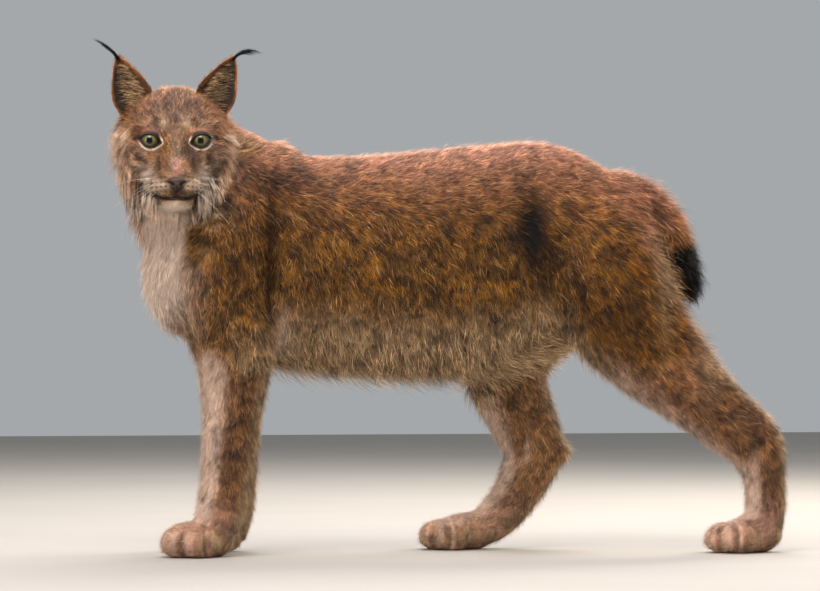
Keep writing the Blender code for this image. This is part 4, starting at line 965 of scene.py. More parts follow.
def coat_material(name, on_skin):
    """Guard hair: each tone laid over the last by its share. A hair is darker at its root, partly for its own
    darker base and partly as painted shade where the hairs cover each other, and paler near its tip, and
    one hair differs from the next. On the skin itself the hair is read half way along."""
    material, tree, output = new_material(name)
    marks = add(tree, "ShaderNodeAttribute", {"attribute_name": "marks"})
    tones = add(tree, "ShaderNodeAttribute", {"attribute_name": "tones"})
    strand = add(tree, "ShaderNodeAttribute", {"attribute_name": "strand"})
    place = add(tree, "ShaderNodeTexCoord")
    marks_split = add(tree, "ShaderNodeSeparateColor", (), {0: marks.outputs["Color"]})
    tones_split = add(tree, "ShaderNodeSeparateColor", (), {0: tones.outputs["Color"]})
    strand_split = add(tree, "ShaderNodeSeparateXYZ", (), {0: strand.outputs["Vector"]})
    share_of = {
        "rust": marks_split.outputs[0],
        "pale": marks_split.outputs[1],
        "dark": marks_split.outputs[2],
        "black": marks.outputs["Alpha"],
        "grey": tones_split.outputs[0],
        "pink": tones_split.outputs[1],
        "white": tones_split.outputs[2],
        "gold": tones.outputs["Alpha"],
    }
    # Mottling of the agouti coat, patches 20 to 30 mm across
    mottle = add(tree, "ShaderNodeTexNoise",
                 {"Scale": 42.0, "Detail": 4.0, "Roughness": 0.62, "Distortion": 0.8},
                 {"Vector": place.outputs["Object"]})
    along = add(tree, "ShaderNodeMath", {"operation": "MULTIPLY_ADD", 1: 0.55, 2: -0.22},
                {0: strand_split.outputs[0]})
    lightness = add(tree, "ShaderNodeMath", {"operation": "ADD"}, {0: along.outputs[0], 1: mottle.outputs[0]})
    patches = add(tree, "ShaderNodeMapRange",
                  {"From Min": 0.32, "From Max": 0.68, "To Min": 0.42, "To Max": 1.58},
                  {"Value": mottle.outputs[0]})
    spread_out = add(tree, "ShaderNodeMapRange", {"From Min": 0.32, "From Max": 0.88},
                     {"Value": lightness.outputs[0]})
    colour = add(tree, "ShaderNodeMix",
                 {"data_type": "RGBA", 6: hex_colour(COAT_COLOURS["base_dark"]),
                  7: hex_colour(COAT_COLOURS["base_light"])},
                 {0: spread_out.outputs[0]}).outputs[2]
    for tone in ("rust", "gold", "grey", "pink", "pale", "white", "dark", "black"):
        colour = add(tree, "ShaderNodeMix", {"data_type": "RGBA", 7: hex_colour(COAT_COLOURS[tone])},
                     {0: share_of[tone], 6: colour}).outputs[2]
    # Painted shade among the hairs, with their own darker bases: each hair darkest at its root
    shade = add(tree, "ShaderNodeMapRange",
                {"From Min": 0.0, "From Max": 0.9, "To Min": 0.26, "To Max": 1.25},
                {"Value": strand_split.outputs[0]})
    differ = add(tree, "ShaderNodeMapRange", {"To Min": 0.30, "To Max": 1.62},
                 {"Value": strand_split.outputs[1]})
    value = add(tree, "ShaderNodeMath", {"operation": "MULTIPLY"},
                {0: shade.outputs[0], 1: differ.outputs[0]})
    uneven = add(tree, "ShaderNodeMath", {"operation": "MULTIPLY"},
                 {0: value.outputs[0], 1: patches.outputs[0]})
    # White hair lets the light through, so that it varies less
    clear = add(tree, "ShaderNodeMath", {"operation": "MULTIPLY", 1: 0.70}, {0: share_of["white"]})
    evened = add(tree, "ShaderNodeMix", {"data_type": "FLOAT", 3: 0.98},
                 {0: clear.outputs[0], 2: uneven.outputs[0]})
    hair = add(tree, "ShaderNodeHueSaturation", {"Saturation": 1.18},
               {"Color": colour, "Value": evened.outputs[0]})
    surface = add(tree, "ShaderNodeBsdfPrincipled",
                  {"Roughness": 0.62, "IOR": 1.55, "Specular IOR Level": 0.28},
                  {"Base Color": hair.outputs[0]})
    if on_skin:
        # Short underfur, hairs about 1 mm apart
        fine = add(tree, "ShaderNodeTexNoise", {"Scale": 900.0, "Detail": 2.0},
                   {"Vector": place.outputs["Object"]})
        bump = add(tree, "ShaderNodeBump", {"Strength": 0.5, "Distance": 0.0006}, {"Height": fine.outputs[0]})
        tree.links.new(bump.outputs[0], surface.inputs["Normal"])
    tree.links.new(surface.outputs[0], output.inputs[0])
    return material


hair_coat = coat_material("guard hair, agouti", False)
skin_coat = coat_material("hide under short underfur", True)
skin_hollow = hollows(skin)
set_marks(skin, markings(skin_points, skin_normals, zone_shares, skin_hollow))
# The skin reads the dark end of the hair's shading, painted shade in the gaps between the tufts
skin_chance = np.random.default_rng(4)
set_vectors(skin, "strand", np.stack([np.full(len(skin_points), 0.20),
                                      skin_chance.uniform(0.35, 0.65, len(skin_points)),
                                      np.zeros(len(skin_points))], 1))
skin.data.materials.clear()
skin.data.materials.append(skin_coat)
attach(skin, "root")
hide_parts("head", "torso", "neck", "tail", "tail_tip",
            *[f"{part}_{side}" for side in ("left", "right")
              for part in ("shoulder", "foreleg", "forepaw", "thigh", "shank", "hindpaw")])

# Eyes.
# Glass eyes set in the skin before it dries. Each has an olive iris with a round pupil and a dark rim,
# painted on the back of a clear front that bulges.
GAZE = np.array((-0.174, -0.985, -0.020))
EYE_ROWS, EYE_COLUMNS = 90, 96
BALL, BULGE, BULGE_ANGLE = 0.0151, 0.0011, 0.62


def eye_material():
    """Painted iris under glass: threads run out from the pupil, each about 0.4 mm wide."""
    material, tree, output = new_material("painted glass eye")
    ring = add(tree, "ShaderNodeAttribute", {"attribute_name": "ring"})
    split = add(tree, "ShaderNodeSeparateXYZ", (), {0: ring.outputs["Vector"]})
    threads = add(tree, "ShaderNodeTexNoise", {"Scale": 7.0, "Detail": 5.0, "Roughness": 0.7},
                  {"Vector": ring.outputs["Vector"]})
    wander = add(tree, "ShaderNodeMath", {"operation": "MULTIPLY_ADD", 1: 0.16, 2: -0.08},
                 {0: threads.outputs[0]})
    out = add(tree, "ShaderNodeMath", {"operation": "ADD"}, {0: split.outputs[2], 1: wander.outputs[0]})
    ramp = add(tree, "ShaderNodeValToRGB", (), {0: out.outputs[0]})
    stops = ((0.00, "#020202"), (0.122, "#050504"), (0.142, "#26240F"), (0.20, "#625E3C"), (0.38, "#48452E"),
             (0.49, "#333124"), (0.545, "#15120D"), (0.66, "#1A1410"), (0.72, "#3A2C24"))
    ramp.color_ramp.elements[0].color = hex_colour(stops[0][1])
    ramp.color_ramp.elements[1].position = stops[-1][0]
    ramp.color_ramp.elements[1].color = hex_colour(stops[-1][1])
    for at, code in stops[1:-1]:
        ramp.color_ramp.elements.new(at).color = hex_colour(code)
    surface = add(tree, "ShaderNodeBsdfPrincipled",
                  {"Roughness": 0.5, "IOR": 1.45, "Specular IOR Level": 0.0, "Coat Weight": 1.0,
                   "Coat Roughness": 0.02, "Coat IOR": 1.38},
                  {"Base Color": ramp.outputs[0]})
    tree.links.new(surface.outputs[0], output.inputs[0])
    return material


eye_paint = eye_material()
eye_polar = np.pi * np.linspace(0.003, 0.997, EYE_ROWS) ** 1.2
eye_turns = np.linspace(0, 2 * np.pi, EYE_COLUMNS, endpoint=False)
eye_ways = polar_ways(GAZE, eye_polar, eye_turns)
# Distance from the middle: the ball's radius, and in front the bulge times exp(-(angle / its angle)^4)
eye_reach = BALL + BULGE * np.exp(-((np.repeat(eye_polar, EYE_COLUMNS) / BULGE_ANGLE) ** 4))
for side in ("left", "right"):
    ball = eye_at[side] + eye_ways * eye_reach[:, None]
    ends = [ball[:EYE_COLUMNS].mean(0), ball[-EYE_COLUMNS:].mean(0)]
    eye = make_mesh(f"eyeball_{side}", np.vstack([ball, ends]), closed_grid(EYE_ROWS, EYE_COLUMNS))
    angle = np.append(np.repeat(eye_polar, EYE_COLUMNS), (0, np.pi))
    turn = np.append(np.tile(eye_turns, EYE_ROWS), (0, 0))
    set_vectors(eye, "ring", np.stack([np.cos(turn), np.sin(turn), angle / np.pi * 1.6], 1))
    eye.data.materials.append(eye_paint)
    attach(eye, "root")
    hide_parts(f"eye_{side}")

# Lids and lips.
# Bare dark skin round the eyes and along the mouth. It is thin, a little moist, and turned in over a
# rolled edge.
LID_RIM, LID_RINGS = 0.0012, 120
LIP_RIM, LIP_RINGS = 0.0014, 90


def skin_material(name, deep, light, roughness, grain):
    """Bare skin: small plates between fine creases, grain of them to a metre. Its attribute deep darkens the
    hollows with painted shade."""
    material, tree, output = new_material(name)
    place = add(tree, "ShaderNodeTexCoord")
    plates = add(tree, "ShaderNodeTexVoronoi", {"feature": "DISTANCE_TO_EDGE", "Scale": grain},
                 {"Vector": place.outputs["Object"]})
    patch = add(tree, "ShaderNodeTexNoise", {"Scale": 180.0, "Detail": 3.0},
                {"Vector": place.outputs["Object"]})
    colour = add(tree, "ShaderNodeMix", {"data_type": "RGBA", 6: hex_colour(deep), 7: hex_colour(light)},
                 {0: patch.outputs[0]})
    raised = add(tree, "ShaderNodeMapRange", {"From Max": 0.12}, {"Value": plates.outputs["Distance"]})
    bump = add(tree, "ShaderNodeBump", {"Strength": 0.45, "Distance": 0.0004}, {"Height": raised.outputs[0]})
    hollow = add(tree, "ShaderNodeAttribute", {"attribute_name": "deep"})
    split = add(tree, "ShaderNodeSeparateXYZ", (), {0: hollow.outputs["Vector"]})
    shaded = add(tree, "ShaderNodeMix", {"data_type": "RGBA", 7: hex_colour("#040303")},
                 {0: split.outputs[0], 6: colour.outputs[2]})
    surface = add(tree, "ShaderNodeBsdfPrincipled", {"Roughness": roughness, "IOR": 1.4},
                  {"Base Color": shaded.outputs[2], "Normal": bump.outputs[0]})
    tree.links.new(surface.outputs[0], output.inputs[0])
    return material


def face_depth(x, z):
    """How far forward the face stands at places in x and z: its bare surface's own y, weighed by
    exp(-distance^2 / 1.5 mm^2) over the corners in front."""
    front = head_bare[head_bare[:, 1] > -0.03]
    gap = (x[:, None] - front[:, 0]) ** 2 + (z[:, None] - front[:, 2]) ** 2
    weight = np.exp(-(gap - gap.min(1)[:, None]) / 0.0015**2)
    return weight @ front[:, 1] / weight.sum(1)


def cord(path, radii, flat, sides, closed):
    """Points and faces of an oval section carried along a path: path + radius (cos(t) flat + 0.7 sin(t) up),
    where up is square to the path and to flat."""
    ahead = np.roll(path, -1, 0) - np.roll(path, 1, 0) if closed else np.gradient(path, axis=0)
    ahead = unit(ahead)
    up = unit(np.cross(ahead, flat))
    aside = np.cross(up, ahead)
    t = np.linspace(0, 2 * np.pi, sides, endpoint=False)[None, :, None]
    points = (path[:, None] + radii[:, None, None]
              * (np.cos(t) * aside[:, None] + 0.7 * np.sin(t) * up[:, None])).reshape(-1, 3)
    if not closed:
        tips = [path[:1] - ahead[:1] * radii[0], path[-1:] + ahead[-1:] * radii[-1]]
        return np.vstack([points, *tips]), closed_grid(len(path), sides)[:, ::-1]
    i, j = np.meshgrid(np.arange(len(path)), np.arange(sides), indexing="ij")
    a, b = i * sides + j, i * sides + (j + 1) % sides
    c, d = (b + sides) % len(points), (a + sides) % len(points)
    quads = np.stack([a, b, c, d], -1).reshape(-1, 4)
    return points, np.vstack([quads[:, [0, 2, 1]], quads[:, [0, 3, 2]]])


bare_skin = skin_material("bare skin, lids and lips", "#090605", "#1A120E", 0.42, 2200.0)
for side, sign in (("left", -1), ("right", 1)):
    # The rim follows the almond round the eye, and is thicker above it
    t = np.linspace(0, 2 * np.pi, LID_RINGS, endpoint=False)
    across = LID_HALF * np.cos(t)
    up = np.where(np.sin(t) > 0, LID_UP, LID_DOWN) * (1 - np.abs(np.cos(t)) ** 2.4) * np.sign(np.sin(t))
    x = sign * (EYE_OUT + across * math.cos(LID_SLANT) - up * math.sin(LID_SLANT))
    z = across * math.sin(LID_SLANT) + up * math.cos(LID_SLANT)
    y = face_depth(x, z) - 0.0009
    path = np.stack([x, y, z], 1)
    thick = LID_RIM * (1 + 0.35 * (np.sin(t) > 0)) * np.ones(len(t))
    points, faces = cord(path, thick, np.array((0.0, 1.0, 0.0)), 10, True)
    rim = outward(make_mesh(f"lid_rim_{side}", from_head(points), faces))
    rim.data.materials.append(bare_skin)
    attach(rim, "root")
mouth = spread(MOUTH_LINE, LIP_RINGS)
path = np.stack([mouth[:, 0], face_depth(mouth[:, 0], mouth[:, 1]) + 0.0002, mouth[:, 1]], 1)
thick = LIP_RIM * (1 - 0.75 * np.abs(np.linspace(-1, 1, LIP_RINGS)) ** 2)
points, faces = cord(path, thick, np.array((0.0, 0.3, 1.0)), 10, False)
lips = outward(make_mesh("lips", from_head(points), faces))
lips.data.materials.append(skin_material("bare skin, brown lips", "#1C100C", "#3C261E", 0.45, 2200.0))
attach(lips, "root")

# Nose.
# The bare pad of the nose, a leathery skin with fine pebbles and two comma-shaped nostrils. It sits on the
# tip of the muzzle, where the hair ends.
NOSE_FORMS = {
    "top": ((0.0, 0.0540, -0.0600), (0.0150, 0.0095, 0.0058)),
    "tip": ((0.0, 0.0545, -0.0660), (0.0105, 0.0095, 0.0076)),
    "root": ((0.0, 0.0520, -0.0725), (0.0048, 0.0080, 0.0048)),
}
NOSE_MIDDLE = np.array((0.0, 0.0520, -0.0650))
NOSE_ROWS, NOSE_COLUMNS = 90, 110
NOSTRIL = ((0.0062, 0, -0.0660), (0.0094, 0, -0.0635), (0.0118, 0, -0.0660))
nose_polar = np.pi * np.linspace(0.004, 0.996, NOSE_ROWS)
nose_turns = np.linspace(0, 2 * np.pi, NOSE_COLUMNS, endpoint=False)
nose_ways = polar_ways(np.array((0.0, 1.0, 0.0)), nose_polar, nose_turns)
nose_reach = star_reach(NOSE_MIDDLE, nose_ways, list(NOSE_FORMS.values()), 0.0012, lambda p: 0.0, 0.03)
nose_points = NOSE_MIDDLE + nose_ways * nose_reach[:, None]
# Painted shade darkens the nostrils, the cleft under the pad and the pad's underside
nose_painted_shade = np.zeros(len(nose_points))
for s in (-1, 1):
    nostril = line_distance(nose_points * (1, 0, 1), tuple((s * x, y, z) for x, y, z in NOSTRIL))
    dent = np.exp(-((nostril / 0.0019) ** 2)) * (nose_points[:, 1] > 0.052)
    nose_reach -= 0.0036 * dent
    nose_painted_shade += dent
# The cleft under the middle of the pad
split = line_distance(nose_points * (1, 0, 1), ((0, 0, -0.0665), (0, 0, -0.080)))
dent = np.exp(-((split / 0.0008) ** 2)) * (nose_points[:, 1] > 0.052)
nose_reach -= 0.0008 * dent
nose_painted_shade += 0.6 * dent + 0.5 * step(nose_points[:, 2], -0.066, -0.074)
nose_points = NOSE_MIDDLE + nose_ways * nose_reach[:, None]
ends = [nose_points[:NOSE_COLUMNS].mean(0), nose_points[-NOSE_COLUMNS:].mean(0)]
nose_faces = closed_grid(NOSE_ROWS, NOSE_COLUMNS)
nose = outward(make_mesh("nose_pad", from_head(np.vstack([nose_points, ends])), nose_faces))
nose.data.materials.append(skin_material("bare skin, pebbled nose pad", "#1E120E", "#452D27", 0.42, 1100.0))
set_vectors(nose, "deep", np.outer(np.append(nose_painted_shade, (0, 0)).clip(0, 1), (1, 0, 0)))
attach(nose, "root")
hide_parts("nose")

# Ears.
# A thin leaf of gristle under skin, cupped to the front, with dark hide within and a pale patch behind.
# Its root is set in the crown of the head.
# Share of the ear's width along it, from root to tip
EAR_PROFILE = ((0.00, 0.66), (0.15, 0.87), (0.35, 1.00), (0.50, 0.93), (0.64, 0.74), (0.83, 0.44),
               (0.94, 0.20), (1.00, 0.06))
EAR_ROOTS = {"left": (-0.0460, -0.052, 0.034), "right": (0.0500, -0.052, 0.033)}
EAR_TIPS = {"left": (-0.0875, -0.050, 0.1240), "right": (0.0835, -0.050, 0.1240)}
EAR_WIDTH, EAR_DEPTH, EAR_OPENS = 0.060, 0.019, 0.25
EAR_ROWS, EAR_COLUMNS = 64, 40


def ear_axes(side):
    """The ear's own ways: up along it, across it, and out of its cup."""
    sign = -1 if side == "left" else 1
    root, tip = np.array(EAR_ROOTS[side]), np.array(EAR_TIPS[side])
    up = (tip - root) / np.linalg.norm(tip - root)
    across = np.cross(up, (sign * EAR_OPENS, 1, 0))
    across /= np.linalg.norm(across)
    return root, tip, up, across, np.cross(across, up)


def ear_place(side, t, s, layer):
    """Place on an ear: t runs from root to tip, s from edge to edge, layer 0 within and 1 behind. It is root
    + t up + half width s across - dip (1 - s^2) out, and thickness behind that."""
    root, tip, up, across, out = ear_axes(side)
    profile = spread(EAR_PROFILE, 80)
    half = EAR_WIDTH / 2 * np.interp(t, profile[:, 0], profile[:, 1])
    dip = EAR_DEPTH * (1 - t) ** 0.7 + 0.0012
    thick = (0.0036 - 0.0018 * t) * (1 - 0.5 * s * s) * layer
    return (root + np.outer(t, tip - root) + np.outer(half * s, across)
            - np.outer(dip * (1 - s * s) + thick, out))


for side in ("left", "right"):
    t, s = np.meshgrid(np.linspace(0, 1, EAR_ROWS), np.linspace(-1, 1, EAR_COLUMNS), indexing="ij")
    t, s = t.ravel(), s.ravel()
    points = np.vstack([ear_place(side, t, s, 0), ear_place(side, t, s, 1)])
    n = len(t)
    i, j = np.meshgrid(np.arange(EAR_ROWS - 1), np.arange(EAR_COLUMNS - 1), indexing="ij")
    a = (i * EAR_COLUMNS + j).ravel()
    b, c, d = a + 1, a + EAR_COLUMNS + 1, a + EAR_COLUMNS
    sheet = np.vstack([np.stack([a, b, c], 1), np.stack([a, c, d], 1)])
    rim = np.concatenate([np.arange(EAR_COLUMNS), np.arange(1, EAR_ROWS) * EAR_COLUMNS + EAR_COLUMNS - 1,
                          (EAR_ROWS - 1) * EAR_COLUMNS + np.arange(EAR_COLUMNS - 2, -1, -1),
                          np.arange(EAR_ROWS - 2, 0, -1) * EAR_COLUMNS])
    after = np.roll(rim, -1)
    edge = np.vstack([np.stack([rim, n + rim, n + after], 1), np.stack([rim, n + after, after], 1)])
    ear = outward(make_mesh(f"ear_cup_{side}", from_head(points),
                            np.vstack([sheet, n + sheet[:, ::-1], edge])))
    shares = np.zeros((2 * n, 8))
    inside = np.arange(2 * n) < n
    t2, s2 = np.tile(t, 2), np.tile(s, 2)
    shares[:, TONES.index("dark")] = np.where(inside, 0.85 - 0.5 * np.abs(s2) ** 4, 0.75
                                              - 0.5 * np.exp(-((t2 - 0.45) / 0.2) ** 2))
    inner = s2 * (-1 if side == "left" else 1)
    shares[:, TONES.index("black")] = (inside * 0.75 * step(inner, 0.45, 0.05)
                                       * step(np.abs(s2), 0.97, 0.88) * step(t2, 0.95, 0.75))
    shares[:, TONES.index("rust")] = 0.6 * (np.abs(s2) > 0.9)
    shares[:, TONES.index("grey")] = np.where(inside, 0.2,
                                              0.8 * np.exp(-((t2 - 0.45) / 0.2) ** 2 - (s2 / 0.6) ** 2))
    set_marks(ear, shares)
    set_vectors(ear, "strand", np.tile((0.35, 0.5, 0.0), (2 * n, 1)))
    ear.data.materials.append(skin_coat)
    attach(ear, "root")
    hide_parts(f"ear_{side}")

# Coat.
# Guard hair in small tufts of hairs that cling together, each rooted in the hide and lying along it, bunched
# in locks up to 7 mm across. Tufts are short and close on face and feet, long on neck, belly and haunches.
# For each zone: straight short tufts and how many meshes they fill, then bent longer tufts, and theirs
COAT_COUNTS = {
    "back": (27000, 2, 3500, 1),
    "neck": (33000, 2, 6000, 1),
    "flank": (60000, 4, 8000, 1),
    "belly": (9000, 1, 4000, 1),
    "tail": (9000, 1, 2600, 1),
    "forelegs": (29000, 1, 0, 0),
    "hindlegs": (33000, 1, 0, 0),
    "feet": (18000, 1, 0, 0),
    "head": (49000, 2, 0, 0),
}
# The lines that each zone's unwrap runs along
COAT_LINES = {
    "back": ((-0.40, 0.0, 0.45), (0.32, 0.0, 0.45)),
    "neck": ((-0.20, 0.0, 0.36), (-0.39, 0.0, 0.66)),
    "flank": ((-0.40, 0.0, 0.45), (0.32, 0.0, 0.45)),
    "belly": ((-0.40, 0.0, 0.45), (0.32, 0.0, 0.45)),
    "tail": ((0.25, 0.0, 0.55), (0.330, 0.0, 0.512), (0.366, 0.0, 0.450), (0.386, 0.0, 0.38)),
    "forelegs": ((-0.318, 0.0, 0.36), (-0.318, 0.0, 0.0)),
    "hindlegs": ((0.10, 0.0, 0.36), (0.30, 0.0, 0.0)),
    "feet": ((-0.45, 0.0, 0.01), (0.50, 0.0, 0.01)),
    "head": ((-0.413, -0.13, 0.50), (-0.413, -0.13, 0.72)),
}
LOCK_SIZE = 0.0070
# Width of each tuft's own patch, as a share of the unwrap
PATCH = 0.003
# How much paler the tips are than the rest of the hair
TIP_PALE = {"back": 0.22, "neck": 0.10, "flank": 0.12, "belly": 0.20, "tail": 0.10, "forelegs": 0.30,
            "hindlegs": 0.24, "feet": 0.30, "head": 0.08}


def scatter(triangles, weights, count, chance):
    """Evenly spread roots on triangles of the skin: steps along the running total of area times weight, and a
    random place in each triangle. Returns corners and their shares."""
    p = skin_points[triangles]
    area = np.linalg.norm(np.cross(p[:, 1] - p[:, 0], p[:, 2] - p[:, 0]), axis=1) * weights
    total = np.cumsum(area)
    steps = (np.arange(count) + chance.random(count)) / count * total[-1]
    pick = np.searchsorted(total, steps).clip(0, len(triangles) - 1)
    r1, r2 = np.sqrt(chance.random(count)), chance.random(count)
    return triangles[pick], np.stack([1 - r1, r1 * (1 - r2), r1 * r2], 1)


def at_roots(values, picked, shares):
    """Values of the skin's corners read at the roots."""
    if values.ndim == 1:
        return np.sum(values[picked] * shares, axis=1)
    return np.einsum("nk,nkd->nd", shares, values[picked])


def lock_pull(roots, size):
    """Way from each root to the middle of its lock, the mean of the roots in one cell of a bent grid, and the
    lock's own number."""
    bent = (roots + 0.35 * size * np.sin(roots[:, [1, 2, 0]] * (2.1 / size) + roots[:, [2, 0, 1]]
                                         * (1.3 / size)))
    cell = np.floor(bent / size).astype(np.int64)
    _, number = np.unique(cell @ np.array((73856093, 19349663, 83492791)), return_inverse=True)
    count = np.bincount(number)
    middle = np.stack([np.bincount(number, roots[:, k]) / count for k in range(3)], 1)
    return middle[number] - roots, number


# Hair that would lie lower than this is pressed flat by the floor
PRESSED = 0.002


def tuft_mesh(name, roots, ways, normals, lengths, widths, rises, pulls, rings, unwrapped, shares,
              tip_shares, tints):
    """Thin closed spikes: root + length (s way + rise (2 s - s^2) normal) + pull s^1.5, with a three-cornered
    section of half width (0.55 + 1.2 s)(1 - s) that closes to a point. Below a height h the place's own
    height z becomes h exp(z / h - 1), so that no hair goes through the floor. Tones run from the root's
    shares to the tip's as s^2. Each one's unwrap is a small patch at its root's place."""
    count = len(roots)
    s = np.linspace(0, 1, rings + 1)[:-1]
    s = s if rings < 3 else s * 0.95
    across = unit(np.cross(ways, normals))
    turn = np.radians((90, 210, 330))
    sections = across[:, None] * np.cos(turn)[:, None] + 0.55 * normals[:, None] * np.sin(turn)[:, None]
    spine = (roots - 0.0006 * normals)[:, None] + lengths[:, None, None] * (
        s[:, None] * ways[:, None] + rises[:, None, None] * (2 * s - s * s)[:, None] * normals[:, None]
    ) + pulls[:, None] * (s**1.5)[:, None]
    half = widths[:, None] * (0.55 + 1.2 * s) * (1 - s)
    body_points = spine[:, :, None] + half[:, :, None, None] * sections[:, None]
    tips = roots + lengths[:, None] * (ways + rises[:, None] * normals) + pulls
    points = np.concatenate([body_points.reshape(count, -1, 3), tips[:, None]], 1)
    low = np.minimum(points[:, :, 2], PRESSED)
    points[:, :, 2] += PRESSED * np.exp(low / PRESSED - 1) - low
    each = 3 * rings + 1
    faces = [(0, 2, 1)]
    for k in range(rings - 1):
        a = 3 * k
        faces += [(a + j, a + (j + 1) % 3, a + 3 + (j + 1) % 3) for j in range(3)]
        faces += [(a + j, a + 3 + (j + 1) % 3, a + 3 + j) for j in range(3)]
    a = 3 * (rings - 1)
    faces += [(a + j, a + (j + 1) % 3, a + 3) for j in range(3)]
    triangles = (np.array(faces)[None] + (np.arange(count) * each)[:, None, None]).reshape(-1, 3)
    piece = make_mesh(name, points.reshape(-1, 3), triangles)
    share_along = np.append(np.repeat(s, 3), 1.0)
    strand = np.stack([np.tile(share_along, count), np.repeat(tints, each), np.zeros(count * each)], 1)
    set_vectors(piece, "strand", strand)
    ease = (share_along**2)[None, :, None]
    set_marks(piece, (shares[:, None] * (1 - ease) + tip_shares[:, None] * ease).reshape(-1, len(TONES)))
    patch = np.stack([np.append(np.tile((-0.5, 0.0, 0.5), rings), 0.0), share_along - 0.5], 1) * PATCH
    places = (unwrapped[:, None] + patch[None]).reshape(-1, 2)
    corner = np.empty(len(piece.data.loops), np.int32)
    piece.data.loops.foreach_get("vertex_index", corner)
    layer = piece.data.uv_layers.new(name="OFBake")
    layer.data.foreach_set("uv", places[corner].astype(np.float32).ravel())
    return piece


def unwrap(points, line):
    """Place on an unwrap of the skin: how far along a line, and the angle round it, both from 0.02 to
    0.98."""
    line = np.array(line) + measured
    runs = np.diff(line, axis=0)
    lengths = np.linalg.norm(runs, axis=1)
    best, along, offset = np.full(len(points), 1e9), np.zeros(len(points)), np.zeros((len(points), 3))
    for k, (start, run) in enumerate(zip(line[:-1], runs)):
        t = np.clip((points - start) @ run / (run @ run), 0, 1)
        off = points - start - t[:, None] * run
        gap = np.sum(off * off, axis=1)
        closer = gap < best
        best = np.where(closer, gap, best)
        along = np.where(closer, lengths[:k].sum() + t * lengths[k], along)
        offset[closer] = off[closer]
    whole = (line[-1] - line[0]) / np.linalg.norm(line[-1] - line[0])
    aside = np.cross(whole, (0.0, 1.0, 0.0))
    aside /= np.linalg.norm(aside)
    angle = np.arctan2(offset @ np.cross(whole, aside), offset @ aside)
    flat = np.stack([along, angle], 1)
    low, high = flat.min(0), flat.max(0)
    return 0.02 + 0.96 * (flat - low) / np.maximum(high - low, 1e-6)


skin.data.calc_loop_triangles()
skin_triangles = np.empty(3 * len(skin.data.loop_triangles), np.int32)
skin.data.loop_triangles.foreach_get("vertices", skin_triangles)
skin_triangles = skin_triangles.reshape(-1, 3)
triangle_zones = skin_zones[skin_triangles[:, 0]]
# No tufts grow on the rims of the lids and lips, on the nose's pad or under the soles
in_head = to_head(skin_points)
eye_margin = np.minimum(lid_margin(in_head, 1), lid_margin(in_head, -1))
face_front = in_head[:, 1] > -0.02
lips_near = line_distance(in_head * (1, 0, 1), mouth_flat)
on_nose = np.linalg.norm((in_head - (0.0, 0.0545, -0.0650)) / (0.0155, 0.0120, 0.0110), axis=1) < 1
bare = face_front & ((eye_margin < 0.0026) | ((lips_near < 0.0032) & (in_head[:, 1] > 0.0)) | on_nose)
bare |= skin_points[:, 2] < 0.0035
rim_gap = np.where(face_front, np.minimum(eye_margin, lips_near), 0.05)


def dress(piece):
    """A piece of hair with its material, body and slot."""
    piece.data.materials.append(hair_coat)
    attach(piece, "root")


